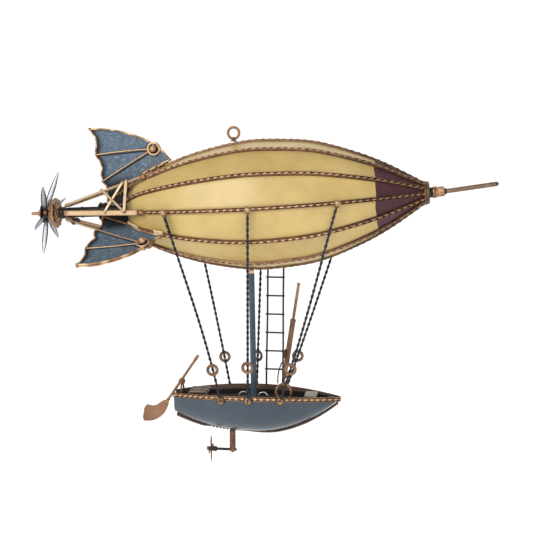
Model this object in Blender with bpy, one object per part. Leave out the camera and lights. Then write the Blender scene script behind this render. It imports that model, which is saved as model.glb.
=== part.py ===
"""Hanging metal airship model: a ribbed envelope with bat-wing fins, and a boat slung below it.

The frame is metres with +X to the nose and +Z up, and the origin is the centre of the hanging ring's hole.
The envelope and its tail are built along their own axis, which is pitched nose up, and the boat is level.
Along that axis a station s is the distance forward of the ring, and a polar angle runs from the near side.
"""
import math

import bmesh
import bpy
from mathutils import Matrix, Vector

MM = 0.001
SEAT_GAP = 0.3 * MM

# The envelope's own axis.
AXIS_DROP = 87.3 * MM
AXIS_PITCH = math.radians(3.7)

# The hand-bent envelope curves up towards both its ends from this station, by this much a square metre.
BEND_STATION = 30 * MM
BEND = 0.075

# The envelope: ribs every 30 degrees stand on the corners of flat gores.
RIB_COUNT = 12
RIB_WIDTH = 4.6 * MM
RIB_HEIGHT = 2.7 * MM
TAIL_RIM = -125 * MM
NOSE_END = 226 * MM
RIB_OUTER_PROFILE = [
    (-125, 29.0), (-107, 43.3), (-70, 58.8), (-30, 70.2), (20, 78.2), (60, 77.3),
    (100, 72.2), (140, 59.2), (180, 41.3), (226, 13.8),
]
TAIL_RECESS_RADIUS = 23 * MM
TAIL_RECESS_DEPTH = 14 * MM
SKIN_RINGS = 24

# The nose, behind to ahead of the collar.
COLLAR_RADIUS = 13.8 * MM
COLLAR_LENGTH = 6 * MM
NECK_RADIUS = 6.2 * MM
NECK_LENGTH = 3.4 * MM
BAND_RADIUS = 6.8 * MM
BAND_LENGTH = 5 * MM
NUT_FLATS = 9.6 * MM
NUT_LENGTH = 8.5 * MM
ROD_RADIUS = 2.5 * MM
ROD_TIP = 311.5 * MM
ROD_EXTRA_PITCH = math.radians(3.4)

# The hanging ring.
RING_OUTER_RADIUS = 8 * MM
RING_WIRE_RADIUS = 1.3 * MM

# The tail boom and its bars.
BOOM_RADIUS = 6.3 * MM
BOOM_COLLAR_RADIUS = 11.3 * MM
BOOM_COLLAR = (-166 * MM, -157 * MM)
BOOM_AFT = -217 * MM
BOOM_NUT_RADIUS = 7.4 * MM
NUT_THICKNESS = 6 * MM
BAR_COUNT = 6
BAR_WIDTH = 6.4 * MM
BAR_THICKNESS = 2.4 * MM
BAR_AFT = (-208 * MM, 10 * MM)
BAR_FORE = (-102 * MM, 47.6 * MM)
BAR_BALL_RADIUS = 4.1 * MM
AFT_KNOB_RADIUS = 3.2 * MM
BRACE_WIDTH = 3.0 * MM
BRACE_THICKNESS = 1.2 * MM
# Shares of the way forward along the lower and the higher bar of a sector.
BRACE_SHARES = {"cross_0": (0.546, 0.742), "cross_1": (0.789, 0.487), "strut": (0.797, 0.793)}

# The bat-wing fins, by station and radius in the plane through the envelope's axis.
FIN_ANGLES = {"top": 90, "near": -30, "far": 210}
FIN_THICKNESS = 1.0 * MM
FIN_WIRE_RADIUS = 1.2 * MM
FIN_BATTEN_RADIUS = 0.9 * MM
TOP_FIN = {
    "tip": (-170.2, 100.3),
    "leading": [
        (-157.8, 99.8), (-145.4, 98.4), (-138.1, 97.0), (-127.1, 94.1), (-115.0, 90.1), (-103.0, 85.0),
        (-96.5, 80.9),
    ],
    "front": [(-84.8, 72.2), (-79.7, 66.6)],
    "corner": (-74.0, 59.5),
    "heel": (-155.5, 11.5),
    "trailing": [
        (-154.4, 26.0), (-155.1, 29.6), (-157.3, 33.4), (-159.5, 36.7), (-160.4, 44.4),
        (-159.1, 50.5), (-159.1, 55.9), (-160.6, 60.2), (-163.4, 65.2), (-165.2, 69.1),
        (-165.2, 72.5), (-164.4, 77.3), (-163.2, 84.5), (-164.0, 89.4), (-167.1, 94.9),
    ],
    "cusps": [(-159.5, 36.7), (-165.2, 69.1)],
    "boss": (-93.0, 73.4),
}
SIDE_FIN = {
    "tip": (-168.5, 109.4),
    "leading": [
        (-153.3, 109.1), (-142.0, 106.7), (-131.2, 102.4), (-120.6, 97.1), (-110.2, 90.5), (-102.2, 83.1),
    ],
    "front": [(-89.9, 70.0), (-85.7, 63.7)],
    "corner": (-80.1, 58.5),
    "heel": (-159.5, 13.5),
    "trailing": [
        (-158.6, 20.8), (-156.7, 29.4), (-158.1, 36.6), (-160.6, 40.6), (-162.0, 43.7),
        (-162.5, 47.8), (-160.4, 53.6), (-158.9, 57.7), (-161.5, 64.0), (-164.5, 71.9),
        (-165.4, 78.4), (-164.0, 87.6), (-163.4, 96.3), (-165.7, 103.9),
    ],
    "cusps": [(-160.6, 40.6), (-165.4, 78.4)],
    "boss": (-99.0, 70.6),
}
FIN_SHAPES = {"top": TOP_FIN, "near": SIDE_FIN, "far": SIDE_FIN}
BOSS_RADIUS = 8.2 * MM
BOSS_BALL_RADIUS = 4.2 * MM

# The tail propeller turns on a pin that the boom carries, with a washer behind it and a lobed flange ahead.
PROP_STATION = -235.5 * MM
PROP_RADIUS = 50.6 * MM
PROP_BLADES = 6
PROP_CHORD = 8.2 * MM
PROP_PITCHES = (-42, -48)
PROP_SWEEP = 6.1 * MM
PROP_FIRST_ANGLE = -11.8
# The blades are bent ahead on one side of the hub and back on the other, by this much at the tip.
PROP_LEAN = 9.3 * MM
PROP_LEAN_ROOT = 8 * MM
BLADE_THICKNESS = 1.1 * MM
PROP_HUB_RADIUS = 7 * MM
PROP_HUB_LENGTH = 6 * MM
PROP_WASHER_RADIUS = 11.5 * MM
PROP_WASHER_THICKNESS = 1.4 * MM
PIN_RADIUS = 2.0 * MM
PIN_AFT = -254 * MM
PIN_NUT_RADIUS = 4.0 * MM
PIN_NUT_LENGTH = 3.4 * MM
FLANGE_LOBES = 12
# Along the axis: the flange's station, radius and depth of its lobes.
FLANGE_RINGS = [
    (-231.3, 5.0, 0.0), (-229.4, 6.0, 0.0), (-228.0, 13.2, 0.7), (-226.6, 16.6, 1.3), (-223.0, 18.3, 1.6),
    (-221.0, 18.3, 1.4), (-219.8, 15.0, 0.5), (-218.6, 11.5, 0.0), (-217.5, 9.0, 0.0),
]

# The boat.
BOAT_STERN = -75 * MM
BOAT_BOW = 131 * MM
BOAT_WAIST = 28 * MM
GUNWALE_Z = -313.5 * MM
GUNWALE_FALL = 4.5 * MM
HALF_BEAM = 32.0 * MM
TRANSOM_HALF_BEAM = 6.5 * MM
HULL_DEPTH = 48.5 * MM
TRANSOM_DEPTH = 24 * MM
HULL_WALL = 1.5 * MM
DECK_DROP = 9.5 * MM
DECK_THICKNESS = 1.2 * MM
TRIM_HEIGHT = 5.6 * MM
TRIM_THICKNESS = 2.2 * MM
KEEL_HEIGHT = 4.2 * MM
KEEL_WIDTH = 4.0 * MM
KEEL_BOW = 127.5 * MM
KEEL_UNDER_TRIM = 5.1 * MM

MATERIALS = {
    "envelope_cream": ((0.62, 0.47, 0.17), 0.38, 0.1),
    "trim_copper": ((0.40, 0.22, 0.09), 0.34, 0.9),
    "bar_brass": ((0.55, 0.38, 0.17), 0.32, 0.9),
    "dark_steel": ((0.03, 0.03, 0.035), 0.4, 0.8),
    "propeller_steel": ((0.30, 0.33, 0.38), 0.35, 0.8),
    "fin_blue": ((0.10, 0.15, 0.21), 0.45, 0.4),
    "boat_blue": ((0.08, 0.13, 0.19), 0.25, 0.2),
    "boat_brown": ((0.06, 0.035, 0.03), 0.5, 0.2),
}


def clear_scene():
    for obj in list(bpy.data.objects):
        bpy.data.objects.remove(obj)


def new_collection(name):
    collection = bpy.data.collections.new(name)
    bpy.context.scene.collection.children.link(collection)
    return collection


clear_scene()
AIRSHIP = new_collection("Airship")


def material(name):
    found = bpy.data.materials.get(name)
    if found:
        return found
    color, roughness, metallic = MATERIALS[name]
    made = bpy.data.materials.new(name)
    made.use_nodes = True
    shader = made.node_tree.nodes["Principled BSDF"]
    shader.inputs["Base Color"].default_value = (*color, 1.0)
    shader.inputs["Roughness"].default_value = roughness
    shader.inputs["Metallic"].default_value = metallic
    return made


def add_object(name, data, finish=None):
    obj = bpy.data.objects.new(name, data)
    AIRSHIP.objects.link(obj)
    if finish:
        data.materials.clear()
        data.materials.append(material(finish))
    return obj


def add_empty(name, matrix):
    empty = bpy.data.objects.new(name, None)
    AIRSHIP.objects.link(empty)
    empty.matrix_world = matrix
    return empty


def from_bmesh(name, mesh_builder, finish=None):
    mesh = bpy.data.meshes.new(name)
    mesh_builder.to_mesh(mesh)
    mesh_builder.free()
    return add_object(name, mesh, finish)


def evaluated_mesh(obj):
    bpy.context.view_layer.update()
    depsgraph = bpy.context.evaluated_depsgraph_get()
    return bpy.data.meshes.new_from_object(obj.evaluated_get(depsgraph))


def as_mesh(obj, finish=None):
    """Turn a curve or a modified object into a plain welded mesh in world space."""
    mesh = evaluated_mesh(obj)
    name = obj.name
    world = obj.matrix_world.copy()
    bpy.data.objects.remove(obj)
    work = bmesh.new()
    work.from_mesh(mesh)
    work.transform(world)
    bmesh.ops.remove_doubles(work, verts=work.verts, dist=0.002 * MM)
    bpy.data.meshes.remove(mesh)
    return from_bmesh(name, work, finish)


def combine(base, other, operation):
    modifier = base.modifiers.new(operation.lower(), "BOOLEAN")
    modifier.operation = operation
    modifier.solver = "EXACT"
    modifier.object = other
    result = as_mesh(base)
    bpy.data.objects.remove(other)
    return result


def fuse(name, pieces, finish):
    base = as_mesh(pieces[0])
    for piece in pieces[1:]:
        base = combine(base, as_mesh(piece), "UNION")
    base.name = name
    base.data.name = name
    base.data.materials.clear()
    base.data.materials.append(material(finish))
    return base


def under(obj, parent, local=None):
    obj.parent = parent
    obj.matrix_parent_inverse = Matrix.Identity(4)
    if local is not None:
        obj.matrix_basis = local
    return obj


def along(start, end):
    """A matrix whose Z runs from start to end, at start."""
    direction = Vector(end) - Vector(start)
    rotation = direction.to_track_quat("Z", "Y").to_matrix().to_4x4()
    return Matrix.Translation(Vector(start)) @ rotation


def cone(name, start, end, radius_a, radius_b, sides=16, finish=None):
    work = bmesh.new()
    length = (Vector(end) - Vector(start)).length
    bmesh.ops.create_cone(
        work, cap_ends=True, segments=sides, radius1=radius_a, radius2=radius_b, depth=length,
        matrix=along(start, end) @ Matrix.Translation((0, 0, length / 2)),
    )
    return from_bmesh(name, work, finish)


def ball(name, center, radius, finish=None, segments=10, rings=6, matrix=None):
    work = bmesh.new()
    place = matrix if matrix is not None else Matrix.Translation(center)
    bmesh.ops.create_uvsphere(work, u_segments=segments, v_segments=rings, radius=radius, matrix=place)
    return from_bmesh(name, work, finish)


def box(name, center, size, finish=None, matrix=None):
    work = bmesh.new()
    bmesh.ops.create_cube(work, size=1.0)
    bmesh.ops.scale(work, vec=Vector(size), verts=work.verts)
    bmesh.ops.transform(work, matrix=(matrix or Matrix.Identity(4)) @ Matrix.Translation(center), verts=work.verts)
    return from_bmesh(name, work, finish)


def wire(name, points, radius, finish=None, cyclic=False, resolution=1):
    curve = bpy.data.curves.new(name, "CURVE")
    curve.dimensions = "3D"
    curve.bevel_depth = radius
    curve.bevel_resolution = resolution
    curve.use_fill_caps = True
    spline = curve.splines.new("POLY")
    spline.points.add(len(points) - 1)
    for slot, point in zip(spline.points, points):
        slot.co = (*point, 1.0)
    spline.use_cyclic_u = cyclic
    return add_object(name, curve, finish)


def plate(name, outline, thickness, matrix, finish=None):
    """A flat outline in X and Y of the given matrix, extruded to its thickness."""
    curve = bpy.data.curves.new(name, "CURVE")
    curve.dimensions = "2D"
    curve.fill_mode = "BOTH"
    curve.extrude = thickness / 2
    spline = curve.splines.new("POLY")
    spline.points.add(len(outline) - 1)
    for slot, (x, y) in zip(spline.points, outline):
        slot.co = (x, y, 0.0, 1.0)
    spline.use_cyclic_u = True
    obj = add_object(name, curve, finish)
    obj.matrix_world = matrix
    return as_mesh(obj, finish)


def loft(name, sections, finish=None):
    """Closed rings of equal length joined into one capped solid."""
    work = bmesh.new()
    rings = [[work.verts.new(point) for point in ring] for ring in sections]
    count = len(rings[0])
    for first, second in zip(rings, rings[1:]):
        for i in range(count):
            j = (i + 1) % count
            work.faces.new((first[i], first[j], second[j], second[i]))
    work.faces.new(list(reversed(rings[0])))
    work.faces.new(rings[-1])
    bmesh.ops.recalc_face_normals(work, faces=work.faces)
    return from_bmesh(name, work, finish)


def turned(name, profile, sides=20, finish=None):
    """A solid turned about X from pairs of station and radius."""
    sections = []
    for station, radius in profile:
        ring = [2 * math.pi * k / sides for k in range(sides)]
        sections.append([(station, radius * math.cos(a), radius * math.sin(a)) for a in ring])
    return loft(name, sections, finish)


def spline_value(points, x):
    """Catmull-Rom through hand-picked points, at x."""
    index = 0
    while index < len(points) - 2 and x > points[index + 1][0]:
        index += 1
    (x1, y1), (x2, y2) = points[index], points[index + 1]
    slope = (y2 - y1) / (x2 - x1)
    before = points[index - 1] if index else None
    after = points[index + 2] if index + 2 < len(points) else None
    m1 = (y2 - before[1]) / (x2 - before[0]) if before else slope
    m2 = (after[1] - y1) / (after[0] - x1) if after else slope
    t = (x - x1) / (x2 - x1)
    h = x2 - x1
    return (
        (2 * t**3 - 3 * t**2 + 1) * y1 + (t**3 - 2 * t**2 + t) * h * m1
        + (3 * t**2 - 2 * t**3) * y2 + (t**3 - t**2) * h * m2
    )


def rib_radius(station):
    """Outer radius of a rib."""
    return spline_value(RIB_OUTER_PROFILE, station / MM) * MM


def skin_radius(station):
    return rib_radius(station) - RIB_HEIGHT - SEAT_GAP


def axis_slope(station):
    return 2 * BEND * (station - BEND_STATION)


def axis_rise(station):
    """Height of the bent axis over the straight one, which runs on straight past both ends of the skin."""
    held = min(max(station, TAIL_RIM), NOSE_END)
    return BEND * (held - BEND_STATION) ** 2 + axis_slope(held) * (station - held)


def bend(obj):
    """Lift each vertex with the envelope's bent axis."""
    local = obj.matrix_basis.copy()
    back = local.inverted()
    for vertex in obj.data.vertices:
        point = local @ vertex.co
        point.z += axis_rise(point.x)
        vertex.co = back @ point


def steps(start, end, count):
    return [start + (end - start) * k / count for k in range(count + 1)]


def polar_plane(degrees):
    """Local X is the station and local Y the radius, in the half plane at this polar angle."""
    angle = math.radians(degrees)
    radial = Vector((0, -math.cos(angle), math.sin(angle)))
    ahead = Vector((1, 0, 0))
    normal = ahead.cross(radial)
    matrix = Matrix.Identity(4)
    matrix.col[0][:3] = ahead
    matrix.col[1][:3] = radial
    matrix.col[2][:3] = normal
    return matrix


def polar_point(station, radius, degrees):
    angle = math.radians(degrees)
    return Vector((station, -radius * math.cos(angle), radius * math.sin(angle)))


def mm_pairs(pairs):
    return [(x * MM, y * MM) for x, y in pairs]


def make_envelope():
    sections = []
    for station in steps(TAIL_RIM, NOSE_END, SKIN_RINGS):
        radius = skin_radius(station)
        sections.append([polar_point(station, radius, 360 * k / RIB_COUNT) for k in range(RIB_COUNT)])
    body = loft("envelope", sections)
    recess = cone(
        "tail_recess", (TAIL_RIM - 2 * MM, 0, 0), (TAIL_RIM + TAIL_RECESS_DEPTH, 0, 0),
        TAIL_RECESS_RADIUS, TAIL_RECESS_RADIUS, sides=24,
    )
    hollow = combine(body, recess, "DIFFERENCE")
    hollow.data.materials.append(material("envelope_cream"))
    return hollow


def make_rib(index):
    degrees = 360 * index // RIB_COUNT
    under_bar = degrees % 60 == 0
    start = BAR_FORE[0] + BAR_BALL_RADIUS + 1.5 * MM if under_bar else TAIL_RIM
    stations = steps(start, NOSE_END - 0.5 * MM, 22)
    outline = [(s, rib_radius(s)) for s in stations]
    outline += [(s, skin_radius(s) + SEAT_GAP) for s in reversed(stations)]
    return plate(f"rib_{degrees:03d}", outline, RIB_WIDTH, polar_plane(degrees), "trim_copper")


def make_nose():
    start = NOSE_END + SEAT_GAP
    collar_end = start + COLLAR_LENGTH
    collar = turned("nose_collar", [
        (start, COLLAR_RADIUS), (start + 2 * MM, COLLAR_RADIUS + 0.4 * MM),
        (collar_end - 1 * MM, COLLAR_RADIUS - 0.4 * MM), (collar_end, COLLAR_RADIUS - 2.5 * MM),
    ], finish="trim_copper")
    band_start = collar_end + SEAT_GAP + NECK_LENGTH
    band_end = band_start + BAND_LENGTH
    neck_start = collar_end + SEAT_GAP
    band = turned("band", [
        (neck_start, NECK_RADIUS), (band_start, NECK_RADIUS), (band_start + 0.2 * MM, BAND_RADIUS),
        (band_end - 0.6 * MM, BAND_RADIUS), (band_end, BAND_RADIUS - 0.6 * MM),
    ])
    nut_end = band_end + NUT_LENGTH
    corner = NUT_FLATS / 2 / math.cos(math.pi / 6)
    nut = cone("nut", (band_end - 1 * MM, 0, 0), (nut_end, 0, 0), corner, corner, sides=6)
    boss = fuse("nose_boss", [band, nut], "bar_brass")
    rod_start = Vector((nut_end + SEAT_GAP + 0.2 * MM, 0, 0))
    ahead = Vector((math.cos(ROD_EXTRA_PITCH), 0, math.sin(ROD_EXTRA_PITCH)))
    length = ROD_TIP - rod_start.x
    profile = [(0, ROD_RADIUS), (length - 2.2 * MM, ROD_RADIUS), (length - 0.8 * MM, ROD_RADIUS * 0.8),
               (length, ROD_RADIUS * 0.35)]
    rod = turned("nose_rod", profile, sides=16, finish="bar_brass")
    tilt = ahead.to_track_quat("X", "Z").to_matrix().to_4x4()
    rod.matrix_world = Matrix.Translation(rod_start) @ tilt
    return [collar, boss, rod]


def make_tail():
    pieces = []
    # The boom is one turned piece from the recess floor aft to the nut, with its collar part way.
    boom_fore = TAIL_RIM + TAIL_RECESS_DEPTH - SEAT_GAP
    collar_aft, collar_fore = BOOM_COLLAR
    nut_fore = BOOM_AFT + NUT_THICKNESS
    pieces.append(turned("tail_boom", [
        (BOOM_AFT, BOOM_NUT_RADIUS), (nut_fore, BOOM_NUT_RADIUS), (nut_fore + 0.1 * MM, BOOM_RADIUS),
        (collar_aft, BOOM_RADIUS), (collar_aft + 0.5 * MM, BOOM_COLLAR_RADIUS),
        (collar_fore - 0.5 * MM, BOOM_COLLAR_RADIUS), (collar_fore, BOOM_RADIUS + 1.5 * MM),
        (boom_fore, BOOM_RADIUS + 1.5 * MM),
    ], finish="dark_steel"))
    for index in range(BAR_COUNT):
        pieces.append(make_bar(60 * index))
    for middle in (30, 150, 270):
        pieces.append(make_braces(middle))
    return pieces


def bar_point(share):
    station = BAR_AFT[0] + (BAR_FORE[0] - BAR_AFT[0]) * share
    radius = BAR_AFT[1] + (BAR_FORE[1] - BAR_AFT[1]) * share
    return station, radius


def make_bar(degrees):
    aft = polar_point(*BAR_AFT, degrees)
    fore = polar_point(*BAR_FORE, degrees)
    radial = polar_point(0, 1, degrees)
    ahead = (fore - aft).normalized()
    side = ahead.cross(radial).normalized()
    matrix = Matrix.Identity(4)
    matrix.col[0][:3] = ahead
    matrix.col[1][:3] = side
    matrix.col[2][:3] = ahead.cross(side)
    matrix.col[3][:3] = (aft + fore) / 2
    length = (fore - aft).length
    strip = box("strip", (0, 0, 0), (length, BAR_WIDTH, BAR_THICKNESS), matrix=matrix)
    front = ball("front", fore, BAR_BALL_RADIUS)
    return fuse(f"tail_bar_{degrees:03d}", [strip, front], "bar_brass")


def make_braces(middle):
    """Two crossed strips and a strut that tie the bars on either side of this sector."""
    lift = (BAR_THICKNESS / 2 + SEAT_GAP + BRACE_THICKNESS / 2)
    names = {30: "near", 150: "far", 270: "low"}
    overlap = {"cross_0": 0.0, "cross_1": 0.6, "strut": 0.3}
    strips = []
    for part_name, (low_share, high_share) in BRACE_SHARES.items():
        over = overlap[part_name] * BRACE_THICKNESS
        strips.append(brace_strip(part_name, middle, low_share, high_share, lift + over))
    return fuse(f"tail_brace_{names[middle]}", strips, "bar_brass")


def brace_strip(name, middle, low_share, high_share, lift):
    low_station, low_radius = bar_point(low_share)
    high_station, high_radius = bar_point(high_share)
    start = polar_point(low_station, low_radius, middle - 30)
    end = polar_point(high_station, high_radius, middle + 30)
    outward = polar_point(0, 1, middle)
    ahead = (end - start).normalized()
    side = ahead.cross(outward).normalized()
    normal = side.cross(ahead).normalized()
    shift = outward * (lift / math.cos(math.radians(30)) + 1.15 * MM)
    matrix = Matrix.Identity(4)
    matrix.col[0][:3] = ahead
    matrix.col[1][:3] = side
    matrix.col[2][:3] = normal
    matrix.col[3][:3] = (start + end) / 2 + shift
    length = (end - start).length + 4 * MM
    return box(name, (0, 0, 0), (length, BRACE_WIDTH, BRACE_THICKNESS), matrix=matrix)


def fin_outline(shape):
    """From the tip along the leading edge, down the root and back up the scalloped trailing edge."""
    outline = mm_pairs([shape["tip"]] + shape["leading"] + shape["front"] + [shape["corner"]])
    for station in steps(shape["corner"][0] * MM - 2 * MM, TAIL_RIM, 5):
        outline.append((station, rib_radius(station) + 2 * SEAT_GAP + FIN_WIRE_RADIUS))
    return outline + mm_pairs([shape["heel"]] + shape["trailing"])


def inset(outline, distance):
    """Move each edge of an outline inward, for an outline that turns clockwise or the reverse."""
    area = 0.0
    count = len(outline)
    for i in range(count):
        x1, y1 = outline[i]
        x2, y2 = outline[(i + 1) % count]
        area += x1 * y2 - x2 * y1
    sign = 1 if area > 0 else -1
    result = []
    for i in range(count):
        before = Vector(outline[i - 1])
        here = Vector(outline[i])
        after = Vector(outline[(i + 1) % count])
        first = (here - before).normalized()
        second = (after - here).normalized()
        normal_a = Vector((-first.y, first.x)) * sign
        normal_b = Vector((-second.y, second.x)) * sign
        bisector = (normal_a + normal_b).normalized()
        reach = distance / max(0.35, bisector.dot(normal_a))
        result.append(tuple(here + bisector * reach))
    return result


def make_fin(side, degrees):
    plane = polar_plane(degrees)
    shape = FIN_SHAPES[side]
    outline = fin_outline(shape)
    inner = inset(outline, FIN_WIRE_RADIUS + 1.7 * SEAT_GAP)
    sheet = plate(f"fin_{side}", inner, FIN_THICKNESS, plane, "fin_blue")
    edge = [plane @ Vector((x, y, 0)) for x, y in outline]
    pieces = [wire("edge", edge, FIN_WIRE_RADIUS, cyclic=True)]
    boss = Vector((*shape["boss"], 0)) * MM
    batten_lift = FIN_THICKNESS / 2 + SEAT_GAP + FIN_BATTEN_RADIUS
    disc_floor = FIN_THICKNESS / 2 + SEAT_GAP
    for face in (-1, 1):
        lift = Vector((0, 0, face * batten_lift))
        for cusp in shape["cusps"]:
            end = Vector((*cusp, 0)) * MM
            pieces.append(wire("batten", [plane @ (boss + lift), plane @ (end + lift * 0.92)], FIN_BATTEN_RADIUS))
        floor = boss + Vector((0, 0, face * disc_floor))
        top = floor + Vector((0, 0, face * 1.6 * MM))
        pieces.append(cone("disc", plane @ floor, plane @ top, BOSS_RADIUS, BOSS_RADIUS, 20))
        middle = floor + Vector((0, 0, face * BOSS_BALL_RADIUS))
        pieces.append(ball("knob", None, BOSS_BALL_RADIUS, matrix=plane @ Matrix.Translation(middle)))
    frame = fuse(f"fin_frame_{side}", pieces, "trim_copper")
    return [sheet, frame]


def blade_sections(radius, root, chord_max, sweep, lean, thickness, pitches, count=8):
    """Leaf-shaped blade up local Z, swept and leant ahead along X, its chord turned about Z by the pitch."""
    root_pitch, tip_pitch = pitches
    sections = []
    for k in range(count + 1):
        share = k / count
        height = root + (radius - root) * share
        chord = chord_max * max(0.14, math.sin(math.pi * (0.10 + 0.86 * share)) ** 0.7)
        pitch = math.radians(root_pitch + (tip_pitch - root_pitch) * share)
        half = thickness / 2 * (1.0 - 0.4 * share)
        leaning = lean * max(0, height - PROP_LEAN_ROOT) / (radius - PROP_LEAN_ROOT)
        corners = [(-chord / 2, -half), (chord / 2, -half), (chord / 2, half), (-chord / 2, half)]
        ring = []
        for across, depth in corners:
            x = across * math.sin(pitch) + depth * math.cos(pitch) + sweep * share + leaning
            y = across * math.cos(pitch) - depth * math.sin(pitch)
            ring.append(Vector((x, y, height)))
        sections.append(ring)
    return sections


def make_propeller(
    name, blades, radius, hub_radius, hub_length, bore, chord, pitches, sweep, finish, first_angle,
    washer=None, lean=0,
):
    """A propeller about local X with a bored hub."""
    half = hub_length / 2
    pieces = [turned("hub", [(-half, hub_radius * 0.8), (0, hub_radius), (half, hub_radius * 0.8)])]
    if washer:
        thickness, washer_radius = washer
        pieces.append(turned("washer", [(-half - thickness, washer_radius), (-half + 0.2 * MM, washer_radius)]))
    for index in range(blades):
        angle = math.radians(first_angle + 360 * index / blades)
        blade_lean = lean * math.cos(angle)
        sections = blade_sections(radius, hub_radius * 0.5, chord, sweep, blade_lean, BLADE_THICKNESS, pitches)
        blade = loft("blade", sections)
        turn = Matrix.Rotation(angle, 4, "X")
        blade.data.transform(turn)
        pieces.append(blade)
    wheel = fuse(name, pieces, finish)
    hole = cone("bore", (-3 * hub_length, 0, 0), (3 * hub_length, 0, 0), bore, bore, 16)
    bored = combine(wheel, hole, "DIFFERENCE")
    bored.name = name
    return bored


def make_flange():
    sections = []
    count = FLANGE_LOBES * 4
    for station, radius, lobe in FLANGE_RINGS:
        ring = []
        for k in range(count):
            angle = 2 * math.pi * k / count
            reach = radius - lobe * (1 - math.cos(angle * FLANGE_LOBES)) / 2
            ring.append((station * MM, reach * MM * math.cos(angle), reach * MM * math.sin(angle)))
        sections.append(ring)
    flange = loft("tail_flange", sections, "trim_copper")
    bore = PIN_RADIUS + SEAT_GAP
    hole = cone("bore", (-240 * MM, 0, 0), (-210 * MM, 0, 0), bore, bore, 16)
    flange = combine(flange, hole, "DIFFERENCE")
    flange.name = "tail_flange"
    return flange


def make_tail_propeller(axis):
    rotor = make_propeller(
        "tail_propeller", PROP_BLADES, PROP_RADIUS, PROP_HUB_RADIUS, PROP_HUB_LENGTH, PIN_RADIUS + SEAT_GAP,
        PROP_CHORD, PROP_PITCHES, PROP_SWEEP, "propeller_steel", PROP_FIRST_ANGLE,
        (PROP_WASHER_THICKNESS, PROP_WASHER_RADIUS), PROP_LEAN,
    )
    under(rotor, axis, Matrix.Translation((PROP_STATION, 0, 0)))
    flange = make_flange()
    under(flange, axis)
    nut_fore = PROP_STATION - PROP_HUB_LENGTH / 2 - PROP_WASHER_THICKNESS - SEAT_GAP
    nut_aft = nut_fore - PIN_NUT_LENGTH
    fore_end = BOOM_AFT - SEAT_GAP
    step = 0.05 * MM
    pin = turned("tail_pin", [
        (PIN_AFT, PIN_RADIUS), (nut_aft - step, PIN_RADIUS), (nut_aft, PIN_NUT_RADIUS),
        (nut_fore, PIN_NUT_RADIUS), (nut_fore + step, PIN_RADIUS), (fore_end, PIN_RADIUS),
    ], sides=16, finish="bar_brass")
    under(pin, axis)
    return [rotor, flange, pin]


def gunwale_z(x):
    return GUNWALE_Z - GUNWALE_FALL * ((x - BOAT_WAIST) / (BOAT_BOW - BOAT_WAIST)) ** 2


def boat_share(x):
    if x >= BOAT_WAIST:
        return (x - BOAT_WAIST) / (BOAT_BOW - BOAT_WAIST)
    return (BOAT_WAIST - x) / (BOAT_WAIST - BOAT_STERN)


def half_beam(x):
    share = min(1.0, boat_share(x))
    if x >= BOAT_WAIST:
        return max(1.2 * MM, HALF_BEAM * (1 - share**1.85))
    return TRANSOM_HALF_BEAM + (HALF_BEAM - TRANSOM_HALF_BEAM) * (1 - share**2.3)


def hull_depth(x):
    share = min(1.0, boat_share(x))
    if x >= BOAT_WAIST:
        return max(2.5 * MM, HULL_DEPTH * (1 - share**2.0))
    return TRANSOM_DEPTH + (HULL_DEPTH - TRANSOM_DEPTH) * (1 - share**2.3)


def hull_section(x, shrink, rise, count=7):
    """Half-round section from the near gunwale down over the keel to the far gunwale."""
    beam = half_beam(x) - shrink
    depth = hull_depth(x) - shrink
    top = gunwale_z(x)
    ring = []
    for k in range(2 * count + 1):
        angle = math.pi * k / (2 * count)
        across = -math.cos(angle)
        sign = math.copysign(1, across)
        y = beam * sign * abs(across) ** 0.85
        z = top - depth * math.sin(angle) ** 0.95
        ring.append((x, y, z))
    if rise:
        ring.insert(0, (x, -beam, top + rise))
        ring.append((x, beam, top + rise))
    return ring


def hull_stations():
    return steps(BOAT_STERN, BOAT_BOW - 2 * MM, 17)


def make_hull():
    outer = loft("hull", [hull_section(x, 0, 0) for x in hull_stations()])
    inner_fore = BOAT_BOW - 14 * MM
    inner = loft("hull_inside", [
        hull_section(x, HULL_WALL, 4 * MM) for x in steps(BOAT_STERN + HULL_WALL, inner_fore, 14)
    ])
    shell = combine(outer, inner, "DIFFERENCE")
    notch_z = gunwale_z(BOAT_STERN)
    notch = box("notch", (BOAT_STERN, 0, notch_z), (8 * MM, 2 * TRANSOM_HALF_BEAM - 3 * MM, 9 * MM))
    shell = combine(shell, notch, "DIFFERENCE")
    shell.name = "boat_hull"
    shell.data.materials.append(material("boat_blue"))
    return shell


def make_deck():
    top = gunwale_z(BOAT_WAIST) - DECK_DROP
    low = top - DECK_THICKNESS
    near = []
    for x in steps(BOAT_STERN + HULL_WALL + 0.6 * MM, BOAT_BOW - 18 * MM, 16):
        share = (gunwale_z(x) - low) / (hull_depth(x) - HULL_WALL)
        angle = math.asin(min(0.999, share) ** (1 / 0.95))
        reach = (half_beam(x) - HULL_WALL) * math.cos(angle) ** 0.85 - 2 * SEAT_GAP
        near.append((x, reach))
    outline = near + [(x, -y) for x, y in reversed(near)]
    place = Matrix.Translation((0, 0, (top + low) / 2))
    return plate("boat_deck", outline, DECK_THICKNESS, place, "boat_brown"), top


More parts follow.
